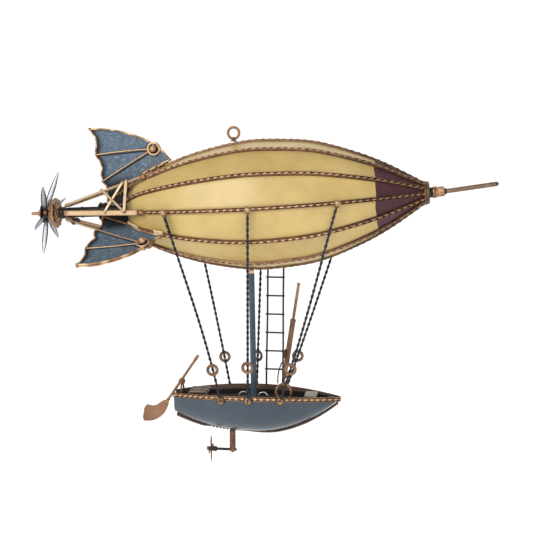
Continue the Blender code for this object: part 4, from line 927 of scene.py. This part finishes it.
def make_flange():
    turn = tail_turn()
    rosette = Form()
    # The petals' dish, from its foot aft round the rim to the bright inner face and the steps to the nut.
    turned(rosette, [(-231.3, 4.6, 0.8), (-230.2, 5.4, 0.5), (-229.0, 6.4, 0.5)], turn)
    turned(rosette, [
        (-229.2, 6.0, 0.6), (-228.4, 11.5, 0.35), (-226.8, 16.2, 0.15), (-223.2, 18.4, 0.0), (-221.2, 18.9),
        (-220.6, 18.5), (-221.0, 17.4), (-222.6, 14.6, 0.25), (-223.2, 11.6, 0.7), (-223.0, 9.0, 0.9),
    ], turn, 96, petals)
    turned(rosette, [
        (-223.4, 9.6, 0.8), (-222.6, 10.2), (-221.6, 10.2), (-221.2, 9.6), (-221.0, 8.6, 0.6), (-219.8, 8.4),
        (-219.4, 7.8), (-219.2, 7.0, 0.6), (-217.6, 6.6, 0.3), (-217.4, 5.8, 0.7),
    ], turn, 40)
    piece("rosette", rosette, "copper", "tail_flange", sharp=50)
    spun("pin", "copper", "tail_pin", [
        (-254.0, 1.2, 0.2), (-253.6, 1.9), (-245.2, 2.0, 0.1), (-244.8, 2.6, 0.5), (-244.6, 3.6),
        (-243.8, 4.1), (-242.6, 4.1), (-242.0, 3.4), (-241.6, 2.0, 0.7), (-217.3, 2.0, 0.5),
    ], turn, 24)


def leaf_blade(
    form, radius, root, chord_max, sweep_ahead, lean, pitches, turn, place,
    thickness=0.9, rows=26, columns=9, tip=0.1,
):
    """A leaf-shaped, hollowed blade up local Z, turned about local X."""
    share = np.linspace(0, 1, rows)
    height = root + (radius - root) * share
    chord = chord_max * np.maximum(tip, np.sin(math.pi * (0.10 + 0.88 * share)) ** 0.72)
    chord[-1] *= 0.6
    pitch = np.radians(pitches[0] + (pitches[1] - pitches[0]) * share)
    v = np.linspace(-1, 1, columns)
    across = chord[:, None] / 2 * v[None]
    camber = (1 - v[None] ** 2) * chord[:, None] * 0.10
    rim = 0.3 + (1 - v[None] ** 2) * 0.7
    ahead = sweep_ahead * share + lean * np.maximum(0, height - 8) / (radius - 8)
    layers = []
    for face in (-1, 1):
        depth = camber + face * thickness / 2 * rim * (1 - 0.4 * share[:, None])
        x = across * np.sin(pitch)[:, None] + depth * np.cos(pitch)[:, None] + ahead[:, None]
        y = across * np.cos(pitch)[:, None] - depth * np.sin(pitch)[:, None]
        layers.append(np.stack([x, y, np.broadcast_to(height[:, None], x.shape)], -1))
    ring = np.concatenate([layers[0], layers[1][:, ::-1]], 1)
    faces = grid(rows, columns * 2, wrap_columns=True, capped=True)
    both = np.concatenate([v, v[::-1]])
    # Painted shade along the edges and a painted highlight down the middle stand in for the light on the
    # hollowed blade.
    edge = np.where(np.abs(both) > 0.7, 0.85, -0.55 * (1 - np.abs(both)) ** 0.5)[None] * np.ones((rows, 1))
    root_shade = np.clip(1.0 - share * 4, 0, 1)[:, None]
    dark = np.where(root_shade > 0, np.maximum(edge, root_shade), edge)
    grain = np.broadcast_to(both * 5.0 + turn, (rows, columns * 2))
    place = place @ Matrix.Rotation(math.radians(turn), 4, "X")
    return form.add(ring, faces, dark, grain, place, np.repeat(height * 0.2, columns * 2))


def make_tail_rotor():
    place = tail_place() @ Matrix.Translation((-235.5, 0, 0))
    blades = Form()
    for index in range(6):
        turn = -11.8 + 60 * index
        lean = 9.3 * math.cos(math.radians(turn))
        leaf_blade(blades, 50.6, 3.5, 7.4, 6.1, lean, (78, 86), turn, place, tip=0.35)
    piece("tail_blades", blades, "blade", "tail_propeller", body="tail_rotor", sharp=50)
    hub = Form()
    turn = place @ TO_X
    turned(hub, [
        (-4.4, 2.6, 0.8), (-4.4, 10.6, 0.1), (-4.0, 11.4), (-3.2, 11.4), (-2.8, 10.8, 0.4), (-2.8, 6.0, 0.8),
        (0, 6.6, 0.4), (2.6, 6.2, 0.3), (3.0, 5.2), (3.0, 2.6, 0.8),
    ], turn, 40)
    piece("tail_hub", hub, "old_copper", "tail_propeller", body="tail_rotor")


# The boat, as its solids have it.
STERN, BOW, WAIST = -75.0, 131.0, 28.0
WALL, WELL_END = 1.5, BOW - 14


def gunwale_z(x):
    return -313.5 - 4.5 * ((np.asarray(x, float) - WAIST) / (BOW - WAIST)) ** 2


def boat_share(x):
    x = np.asarray(x, float)
    return np.minimum(1, np.where(x >= WAIST, (x - WAIST) / (BOW - WAIST), (WAIST - x) / (WAIST - STERN)))


def half_beam(x):
    share = boat_share(x)
    fore = np.maximum(1.2, 32.0 * (1 - share**1.85))
    return np.where(np.asarray(x) >= WAIST, fore, 6.5 + 25.5 * (1 - share**2.3))


def hull_depth(x):
    share = boat_share(x)
    fore = np.maximum(2.5, 48.5 * (1 - share**2))
    return np.where(np.asarray(x) >= WAIST, fore, 24 + 24.5 * (1 - share**2.3))


def hull_section(x, shrink, count=44):
    angle = np.linspace(0, math.pi, count + 1)
    c = -np.cos(angle)
    y = (half_beam(x) - shrink) * np.sign(c) * np.abs(c) ** 0.85
    z = gunwale_z(x) - (hull_depth(x) - shrink) * np.sin(angle) ** 0.95
    return np.stack([np.full(count + 1, float(x)), y, z], 1)


def make_hull():
    stations = np.linspace(STERN, BOW - 2, 96)
    cut = int(np.searchsorted(stations, WELL_END)) + 1
    outer = np.array([hull_section(x, 0) for x in stations])
    inner = np.array([hull_section(np.clip(x, STERN + WALL, WELL_END), WALL)[::-1] for x in stations[:cut]])
    count = outer.shape[1]
    shell = Form()
    shell.add(outer, grid(len(outer), count))
    shell.add(outer[-1], [tuple(range(count))])
    piece("hull_outside", shell, "hull", "boat_hull", sharp=50)
    lining = Form()
    from_rim = np.minimum(np.arange(count), count - 1 - np.arange(count))
    # Inside, bands of painted highlight and painted shade run just below the rims.
    rim_light_and_shade = np.interp(from_rim, [0, 1, 2, 3, 4, 8, 10], [-0.6, -0.5, 0.7, 0.6, -0.35, -0.2, 0.2])
    lining.add(inner, grid(cut, count), np.tile(rim_light_and_shade, cut))
    # The rims' tops carry a painted highlight.
    for outside, inside in ((0, -1), (-1, 0)):
        lining.add(np.stack([outer[:cut, outside], inner[:, inside]], 1), grid(cut, 2), -0.5)
    fore = stations[cut - 2:]
    top = np.array([[(x, side * half_beam(x), gunwale_z(x)) for side in (-1, 1)] for x in fore])
    lining.add(top, grid(len(top), 2), 0.1)
    piece("hull_inside", lining, "inside", "boat_hull", sharp=50)
    transom = Form()
    edge = hull_section(STERN, 0)[:, 1:]
    top = float(gunwale_z(STERN))
    notch = [(5.0, top), (5.0, top - 4.0), (4.5, top - 4.5)]
    notch += [(-y, z) for y, z in notch[::-1]]
    upright = Matrix(((0, 0, 1, STERN + WALL / 2), (1, 0, 0, 0), (0, 1, 0, 0), (0, 0, 0, 1)))
    slab(transom, np.concatenate([edge, notch]), WALL, upright, 0.15)
    piece("transom", transom, "hull", "boat_hull")


TRIM_FOOT, TRIM_RISE = 0.48, 2.2


def make_trim():
    x = np.linspace(STERN, BOW - 2.4, 160)
    near = np.stack([x, -half_beam(x), gunwale_z(x) - 1.8], 1)
    slope = np.gradient(half_beam(x), x)
    out = unit(np.stack([-slope, -np.ones(len(x)), 0 * x], 1))
    out[-1] = unit((0.85, -0.55, 0))
    mirror = np.array([1, -1, 1])
    foot = near + out * TRIM_FOOT
    path = np.concatenate([foot, (foot * mirror)[::-1]])
    up = np.concatenate([out, (out * mirror)[::-1]])
    form = Form()
    ribbon(form, path, up, 2.8, TRIM_RISE, 7.6, base=0.0)
    piece("gunwale_strip", form, "copper", "gunwale_trim", sharp=50)


def make_keel():
    # A plain strip, notched for a short way amidships, that runs up to the bow under the trim.
    x = np.linspace(STERN + 2.5, 127.5, 240)
    gap = np.interp(x, [-72, -40, -30, 20, 60, 120], [1.1, 1.1, 0.3, 0.3, 0.9, 1.2])
    top = gunwale_z(x) - np.maximum(hull_depth(x) + gap, 5.1)
    tall = np.interp(x, [-72, -38, -30, -8, 14, 50, 127], [3.4, 3.4, 2.4, 1.8, 1.6, 3.4, 3.6])
    notch = np.interp(x, [-34, -31, -6, -3], [0, 1, 1, 0]) * 0.8 * np.cos(x * 2 * math.pi / 4.4)
    low = top - tall - notch
    # The upper levels are painted in shade, for the shadowed gap under the hull.
    near = [(0.0, 2.0, 0.95), (0.35, 2.0, 0.9), (0.5, 2.0, 0.0), (1.0, 2.0, 0.1)]
    levels = near + [(t, -y, shade) for t, y, shade in near[::-1]]
    rows = np.array([np.column_stack([x, np.full(len(x), y), top + (low - top) * t]) for t, y, _ in levels])
    stripe = np.clip(np.sin(x * 2.1), 0, 1) * np.interp(x, [-60, -40], [0.45, 0.0])
    stripe += np.interp(x, [-30, 50], [0.0, 0.25])
    dark = np.array([np.clip(shade + stripe, 0, 1) for _, _, shade in levels])
    form = Form()
    faces = grid(len(levels), len(x), wrap_rows=True)
    faces += [tuple(k * len(x) + end for k in range(len(levels))) for end in (0, len(x) - 1)]
    form.add(rows, faces, dark)
    piece("keel_edge", form, "old_copper", "keel_strip", sharp=50)


def make_benches():
    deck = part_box("boat_deck")[1].z / MM
    # The bow bench's pale lid is a painted reflection on its top.
    benches = [("stern_bench", -54, -33, "brown"), ("bow_bench", 87, 102, "greige")]
    for name, aft, fore, top_finish in benches:
        low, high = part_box(name)
        middle = (low + high) / 2 / MM
        width = (high.y - low.y) / MM
        top = high.z / MM
        body = Form()
        under_lid, foot = top - 1.2, deck + GAP
        spot = Matrix.Translation((middle.x, 0, (under_lid + foot) / 2))
        block(body, (fore - aft - 2.4, width - 4, under_lid - foot), spot, 0.6, 0.1)
        piece(f"{name}_chest", body, "brown", name)
        lid = Form()
        block(lid, (fore - aft, width, 1.8), Matrix.Translation((middle.x, 0, top - 1.0)), 0.6)
        piece(f"{name}_lid", lid, top_finish, name)
        if name == "stern_bench":
            bands = Form()
            for y in (-width / 2 + 1.2, 0, width / 2 - 1.2):
                curl = np.linspace(0, 1.2 * math.pi, 12)
                hook = np.stack([1.6 * np.sin(curl), 0 * curl, 1.6 * np.cos(curl) - 1.6], 1)
                path = np.concatenate([
                    (hook * (-1, 1, 1) + (aft + 0.6, y, top + 0.3))[::-1], hook + (fore - 0.6, y, top + 0.3),
                ])
                tube(bands, path, 0.6, 8)
            piece(f"{name}_bands", bands, "greige", name)


# Place and drop of the feet, then for each side the head's station, the washer's share and the wire's bulge.
STAYS = {
    "aft": (-11.2, 4.2, {"near": (-72, 0.828, 3.3), "far": (-65, 0.836, 0.8)}),
    "mid": (22.1, 3.9, {"near": (29.8, 0.812, 0.0), "far": (23.5, 0.835, 0.0)}),
    "fore": (60.3, 2.6, {"near": (129.5, 0.828, 2.2), "far": (138, 0.835, 0.8)}),
}
TWIST = 13.8


def make_stay(label, side):
    sign = -1 if side == "near" else 1
    foot_x, drop, sides = STAYS[label]
    station, share, bulge = sides[side]
    node = f"stay_{label}_{side}"
    ball_radius, screw_half = 3.5, 1.5
    around = 0 if side == "near" else 180
    head = bow(on_axis(station, float(rib_radius(station)) + GAP + ball_radius, around))
    slope = abs(float(half_beam(foot_x + 1) - half_beam(foot_x - 1))) / 2
    reach = float(half_beam(foot_x)) + TRIM_FOOT + TRIM_RISE + GAP + slope * 4 + screw_half
    foot = np.array([foot_x, sign * reach, float(gunwale_z(foot_x)) - drop])
    length = apart(head, foot)
    ahead = unit(foot - head)
    side_way = unit(np.cross(ahead, (1, 0, 0)))
    other = np.cross(ahead, side_way)
    run = np.linspace(0, 1, int(length / TWIST * 18))

    def along(t):
        lift = bulge * np.sin(math.pi * np.asarray(t) ** 1.4)
        return head + np.multiply.outer(np.asarray(t) * length, ahead) + np.multiply.outer(lift, (1, 0, 0))

    def helix(turn):
        return np.cos(turn)[:, None] * side_way + np.sin(turn)[:, None] * other

    rope = Form()
    for half_turn in (0, math.pi):
        turn = run * length / TWIST * 2 * math.pi + half_turn
        tube(rope, along(run) + helix(turn) * 0.84, 0.92, 8)
    if node == "stay_aft_near":
        # The first wire is bound round its head.
        wrap = np.linspace(0.02, 0.115, 90)
        tube(rope, along(wrap) + helix(wrap * 420) * 1.75, 0.55, 8)
    piece(f"rope_{label}_{side}", rope, "wire", node, sharp=60)
    knob = Form()
    # The ball carries a painted highlight.
    ball(knob, head, 3.9, sides=24, dark=-0.25)
    spot = look_along(head + ahead * 3.0, head + ahead * 6.0)
    turned(knob, [(0, 2.2, 0.7), (0.6, 2.5, 0.3), (2.0, 2.3, 0.4), (2.6, 1.8, 0.8)], spot, 20)
    out = np.array([0, sign, 0.0])
    turned_far = node == "stay_mid_far"
    facing = unit((0.6, 1.0, 0)) if turned_far else out
    piece(f"fittings_{label}_{side}", knob, "copper", node)
    ring = Form()
    washer(ring, along(share) + out * (1.05 + 0.9), facing, 7.5, 3.8, 1.8, 0.5 if turned_far else 0.0)
    piece(f"washer_{label}_{side}", ring, "washer_copper", node)
    screw = look_along(foot - out * screw_half, foot + out * screw_half)
    spun(f"screw_plate_{label}_{side}", "black", node, [
        (-0.4, 4.5), (0, 5.1), (0.9, 5.1), (1.2, 4.6),
    ], screw, 32)
    face = Form()
    turned(face, [(0.9, 4.3, 0.8), (1.2, 4.3, 0.4), (2.4, 4.1), (3.0, 3.4), (3.1, 2.6)], screw, 32)
    cut = screw @ Matrix.Translation((0, 0, 3.1)) @ Matrix.Rotation(0.6 + foot_x * 0.04, 4, "Z")
    block(face, (6.4, 0.9, 0.3), cut, 0.05, 1.0)
    piece(f"screw_{label}_{side}", face, "screw_brass", node)


def make_mast():
    foot = np.array([24.1, 0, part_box("mast")[0].z / MM])
    top = np.array([21.2, 0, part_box("mast")[1].z / MM])
    place = look_along(foot, top)
    height = apart(foot, top)
    spun("mast_pole", "mast", "mast", [
        (4, 3.6, 0.3), (14, 3.6), (height - 3.4, 3.55), (height - 3.1, 3.3, 0.4),
    ], place, 32)
    spun("mast_sleeve", "mast", "mast", [
        (0, 6.4, 0.2), (0.8, 6.5), (1.6, 6.1), (2.4, 5.4, 0.6), (4.2, 4.9, 0.2), (5, 4.7), (12.8, 4.6),
        (13.4, 4.8), (14.2, 4.7), (14.6, 3.6, 0.7),
    ], place, 32)
    spun("mast_stub", "brass", "mast", [
        (height - 3.3, 3.0, 0.7), (height - 2.8, 3.2), (height + 0.6, 3.1), (height + 1.2, 2.7, 0.4),
    ], place, 28)
    half, y, top_z = 6.2, -10.0, -312.3
    for name, x in (("mast_hoop_aft", 13.0), ("mast_hoop_fore", 36.6)):
        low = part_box(name)[0].z / MM
        arc = np.linspace(0, math.pi, 25)
        arch = np.stack([x + half * np.cos(arc), np.full(25, y), top_z - half + half * np.sin(arc)], 1)
        arch = np.concatenate([[(x + half, y, low + 0.2)], arch, [(x - half, y, low + 0.2)]])
        hoop = Form()
        tube(hoop, arch, 0.9, 12)
        for end_x in (x - half, x + half):
            ball(hoop, (end_x, y, low + 0.8), 1.3, 0.6, sides=14)
        piece(f"wire_{name}", hoop, "silver", name)


def make_ladder():
    top_z, first_rung, rung_step = -154.8, -177.4, 23.3
    foot_z = float(gunwale_z(44.8)) - 4
    form = Form()
    rails = []
    for x_foot, x_top in ((34.4, 36.5), (55.2, 55.8)):
        foot, top = np.array([x_foot, 36.0, foot_z]), np.array([x_top, 37.2, top_z])
        rails.append((foot, top))
        share = np.linspace(0, 1, 30)[:, None]
        sway = np.sin(share * 9 + x_foot) * 0.15 * np.array([1, 0, 0])
        tube(form, foot + (top - foot) * share + sway, 1.2, 10)
    for k in range(6):
        z = first_rung - rung_step * k
        share = (z - foot_z) / (top_z - foot_z)
        aft, fore = (rail[0] + (rail[1] - rail[0]) * share for rail in rails)
        tube(form, [aft - (2.2, 0, 0), aft, fore, fore + (0.6, 0, 0)], 1.1, 10)
        for spot in (aft, fore):
            ball(form, spot - (0, 0.4, 0), 1.75, sides=14)
    piece("wire_ladder", form, "wire", "ladder")


GUN_Y = -9.0
GUN_FOOT = np.array([61.4, GUN_Y, -300.6])
GUN_TIP = np.array([79.8, GUN_Y, -177.4])


def make_gun():
    length = apart(GUN_FOOT, GUN_TIP)
    place = look_along(GUN_FOOT, GUN_TIP)
    spun("gun", "old_copper", "gun_barrel", [
        (length * 0.05, 1.6, 0.6), (length * 0.055, 2.6, 0.3), (length * 0.20, 2.8),
        (length * 0.205, 3.0, 0.4), (length * 0.21, 3.2), (length * 0.62, 3.2), (length * 0.628, 3.5),
        (length * 0.64, 3.5), (length * 0.642, 2.6, 0.6), (length * 0.636, 2.2, 1.0),
        (length * 0.60, 2.1, 1.0),
    ], place, 28)
    muzzle = Form()
    turned(muzzle, [
        (length * 0.58, 1.7, 0.9), (length * 0.64, 1.75, 0.5), (length - 2.6, 1.8), (length - 2.4, 2.1),
        (length - 0.2, 2.1), (length, 1.7), (length - 0.4, 1.0, 1.0),
    ], place, 20)
    up = unit(GUN_TIP - GUN_FOOT)
    aft = np.array([-up[2], 0, up[0]])
    spot = GUN_FOOT + up * length * 0.295 + aft * (3.0 + 0.63)
    washer(muzzle, spot, aft, 5.8, 3.2, 2.2)
    piece("gun_muzzle", muzzle, "copper", "gun_barrel")
    hole = Form()
    turned(hole, [(-0.3, 3.2), (0.3, 3.2)], look_along(spot, spot + aft), 24)
    stem_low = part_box("gun_barrel")[0].z / MM
    stem = [(61.7, stem_low + 0.1), (61.7, stem_low + 4), (62.0, -296.6), (62.4, -294.0)]
    tube(hole, [(x, GUN_Y, z) for x, z in stem], 1.3, 14)
    bend = np.linspace(0, 1, 14)[:, None]
    curve = straight(np.array([59.5, GUN_Y, -274.6]), np.array([54.6, GUN_Y, -300.8]), bend)
    tube(hole, curve - np.sin(bend * math.pi) * np.array([1.6, 0, 0]), 0.75, 8)
    piece("gun_fittings", hole, "black", "gun_barrel")
    hoop_radius, hoop_wire = 10.2, 1.0
    center = np.array([61.7, GUN_Y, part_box("gun_stand")[0].z / MM + hoop_wire + hoop_radius])
    stand = Form()
    for lean in (-24, 24):
        turn = Matrix.Rotation(math.radians(lean), 4, "Z")
        tube(stand, placed(upright_loop(hoop_radius, 48), turn) + center, hoop_wire, 12, closed=True)
    turned(stand, [
        (9.2, 3.4, 0.5), (9.8, 3.5), (10.6, 3.0), (11.2, 2.6), (11.4, 1.8),
    ], Matrix.Translation(center), 28)
    piece("gun_hoops", stand, "copper", "gun_stand")


OAR_RADIUS, RIVET_HOLE = 1.6, 1.7
OAR_PIVOT = np.array([-65.5, -2.4, -303.7])
OAR_CAP = np.array([-45.6, -2.4, -271.9])
OAR_NECK = np.array([-84.5, -2.4, -329.6])
OAR_BLADE = [
    (-84.9, -328.4), (-82.5, -331.5), (-84.2, -337.4), (-86.6, -342.1), (-90.2, -347.2), (-95.8, -351.6),
    (-102.2, -354.6), (-109.5, -355.8), (-114.6, -355.6), (-115.7, -351.4), (-114.9, -346.0),
    (-113.7, -339.5), (-109.7, -334.8), (-102.8, -335.9), (-97.4, -334.3), (-91.9, -330.4), (-87.8, -328.3),
]


def make_oar():
    shaft = Form()
    end = OAR_NECK + (OAR_NECK - OAR_PIVOT) * 0.05
    share = np.linspace(0, 1, 24)[:, None]
    tube(shaft, straight(OAR_CAP, end, share), OAR_RADIUS, 14)
    ball(shaft, OAR_CAP, 2.1, sides=20)
    down = unit(OAR_NECK - OAR_CAP)
    spot = look_along(OAR_CAP + down * 2.2, OAR_CAP + down * 6)
    turned(shaft, [(0, 1.7, 0.5), (0.5, 2.1), (3.0, 2.0), (3.5, 1.6, 0.6)], spot, 20)
    spot = look_along(end, end + down)
    turned(shaft, [(-5.5, 1.6, 0.6), (-5.0, 2.1), (0.5, 2.3), (1.5, 1.8, 0.4)], spot, 20)
    washer(shaft, OAR_PIVOT, (0, 1, 0), 4.2, RIVET_HOLE, 3.4)
    piece("oar_shaft", shaft, "copper", "steering_oar", body="oar")
    blade = Form()
    line = eased(OAR_BLADE + [OAR_BLADE[0]], {0, 8, len(OAR_BLADE)}, 5)[:-1]
    upright = Matrix.Translation((0, OAR_PIVOT[1], 0)) @ Y_UP
    slab(blade, line, 1.5, upright, 0.6, 0.0)
    piece("oar_blade", blade, "rose_copper", "steering_oar", body="oar")
    yoke = Form()
    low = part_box("oar_yoke")[0].z / MM
    leg = 1.1
    reach = RIVET_HOLE + GAP + leg
    turned(yoke, [
        (-reach - 2.6, 0.9), (-reach - 2.2, 1.9), (-reach - 1.0, 2.2), (-reach - 0.6, 1.3),
        (reach + 1.2, 1.3), (reach + 1.5, 1.0),
    ], look_along(OAR_PIVOT, OAR_PIVOT + (0, 1, 0)), 20)
    for sign, lean, foot_y in ((-1, 0, -2.4 - reach - 2.0), (1, 1.2, 7.0)):
        top = OAR_PIVOT + (0, sign * reach, 1.2)
        foot = np.array([OAR_PIVOT[0] + lean, foot_y, low + 0.3])
        tube(yoke, straight(top, foot, share), leg, 12)
        ball(yoke, foot + (0, 0, 0.4), 1.8, 0.6, sides=14)
    piece("yoke", yoke, "old_copper", "oar_yoke")


def make_keel_drive():
    x, z = -2.7, -388.6
    # The post's end is let into the keel strip.
    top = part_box("keel_drive_leg")[1].z / MM + 2.2
    spun("keel_post", "old_copper", "keel_drive_leg", [
        (top, 3.2, 0.6), (top - 0.6, 3.7, 0.2), (top - 6, 3.7), (top - 6.4, 3.5, 0.8), (top - 6.8, 3.7),
        (-383.4, 3.7), (-383.8, 3.5, 0.6), (-384.2, 3.7), (-389.0, 3.7), (-391.0, 2.6), (-392.2, 1.0),
        (-392.5, 0.5),
    ], Matrix.Translation((x, 0, 0)), 28)
    shaft = Form()
    turn = Matrix.Translation((0, 0, z)) @ TO_X
    turned(shaft, [
        (-35.2, 1.4), (-34.8, 1.6), (-27.4, 1.6), (-27.4, 2.8, 0.4), (-27.0, 3.2), (-23.0, 3.2),
        (-22.6, 2.8, 0.4), (-22.6, 1.6, 0.6), (2.0, 1.6), (2.3, 1.3),
    ], turn, 24)
    piece("keel_shaft", shaft, "black", "keel_drive_leg")
    spun("keel_nut", "copper", "keel_drive_leg", [
        (-34.8, 2.5, 0.3), (-34.4, 2.9), (-32.6, 2.9), (-32.2, 2.5, 0.4),
    ], turn, 6)
    rotor = Form()
    place = Matrix.Translation((-29.8, 0, z))
    for index in range(4):
        leaf_blade(rotor, 16.2, 1.6, 6.5, 0, 0, (1, 5), 90 * index, place, thickness=1.1, rows=14, tip=0.6)
    hub = [(-1.9, 1.95, 0.6), (-1.9, 2.7, 0.3), (0, 3.2), (1.9, 2.7, 0.3), (1.9, 1.95, 0.6)]
    turned(rotor, hub, place @ TO_X, 24)
    piece("keel_rotor_blades", rotor, "old_copper", "keel_propeller", body="keel_rotor", sharp=50)


def dress_deck():
    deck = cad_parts["boat_deck"]
    deck.data.materials.clear()
    deck.data.materials.append(tinted("inside"))


def make_stage():
    """A pale floor that curves up into a pale wall well behind."""
    floor_z, depth, rise, bend = -0.47, 2.2, 2.6, 0.9
    turn = np.linspace(0, math.pi / 2, 14)
    curve = [(depth - bend + bend * math.sin(a), bend - bend * math.cos(a)) for a in turn]
    line = [(-6.0, 0.0), *curve, (depth, rise)]
    verts = [(x, y, floor_z + z) for y, z in line for x in (-6.0, 6.0)]
    faces = [(2 * i, 2 * i + 1, 2 * i + 3, 2 * i + 2) for i in range(len(line) - 1)]
    mesh = bpy.data.meshes.new("backdrop")
    mesh.from_pydata(verts, [], faces)
    mesh.polygons.foreach_set("use_smooth", [True] * len(mesh.polygons))
    paper = bpy.data.materials.new("paper")
    paper.use_nodes = True
    shader = paper.node_tree.nodes["Principled BSDF"]
    shader.inputs["Base Color"].default_value = (0.30, 0.30, 0.30, 1)
    shader.inputs["Roughness"].default_value = 0.85
    shader.inputs["Emission Color"].default_value = (1, 1, 1, 1)
    shader.inputs["Emission Strength"].default_value = 0.85
    mesh.materials.append(paper)
    backdrop = bpy.data.objects.new("backdrop", mesh)
    bpy.context.scene.collection.objects.link(backdrop)


def area_light(name, spot, target, size, power, tint=(1, 1, 1)):
    data = bpy.data.lights.new(name, "AREA")
    data.shape = "RECTANGLE"
    data.size, data.size_y = size
    data.energy = power
    data.color = tint
    lamp = bpy.data.objects.new(name, data)
    lamp.location = spot
    lamp.rotation_euler = (Vector(target) - Vector(spot)).to_track_quat("-Z", "Y").to_euler()
    bpy.context.scene.collection.objects.link(lamp)


def light_and_camera():
    world = bpy.data.worlds.new("studio")
    world.use_nodes = True
    world.node_tree.nodes["Background"].inputs["Color"].default_value = (1, 1, 1, 1)
    world.node_tree.nodes["Background"].inputs["Strength"].default_value = 0.32
    bpy.context.scene.world = world
    middle = (0, 0, -0.18)
    area_light("key", (-0.75, -1.5, 0.75), middle, (1.2, 1.0), 25, (1, 0.985, 0.96))
    area_light("front", (0.7, -1.7, 0.1), middle, (0.9, 0.7), 8)
    area_light("back", (0.2, 0.9, 1.4), middle, (2.0, 0.6), 8)
    bpy.context.scene.view_settings.view_transform = "Standard"
    pitch_down, yaw = math.radians(7.29), math.radians(8.0)
    right = Vector((math.cos(yaw), math.sin(yaw), 0))
    level = math.cos(pitch_down)
    back = Vector((math.sin(yaw) * level, -math.cos(yaw) * level, math.sin(pitch_down)))
    up = back.cross(right)
    turn = Matrix((right, up, back)).transposed().to_4x4()
    data = bpy.data.cameras.new("camera")
    data.lens = 67.09
    data.sensor_width = 36
    camera = bpy.data.objects.new("camera", data)
    camera.matrix_world = Matrix.Translation((0.2047, -1.1749, -0.0077)) @ turn
    bpy.context.scene.collection.objects.link(camera)
    bpy.context.scene.camera = camera


light_and_camera()
make_stage()
make_skin()
make_ribs()
make_nose()
make_ring()
for side, degrees in FIN_ANGLES.items():
    shape, place = FIN_SHAPES[side], fin_plane(degrees)
    edges = fin_edges(shape)
    make_fin_sheet(side, shape, place, edges)
    make_fin_frame(side, degrees, shape, place, edges)
make_bars()
make_braces()
make_boom()
make_flange()
make_tail_rotor()
make_hull()
make_trim()
make_keel()
make_benches()
for label in STAYS:
    for side in ("near", "far"):
        make_stay(label, side)
make_mast()
make_ladder()
make_gun()
make_oar()
make_keel_drive()
dress_deck()
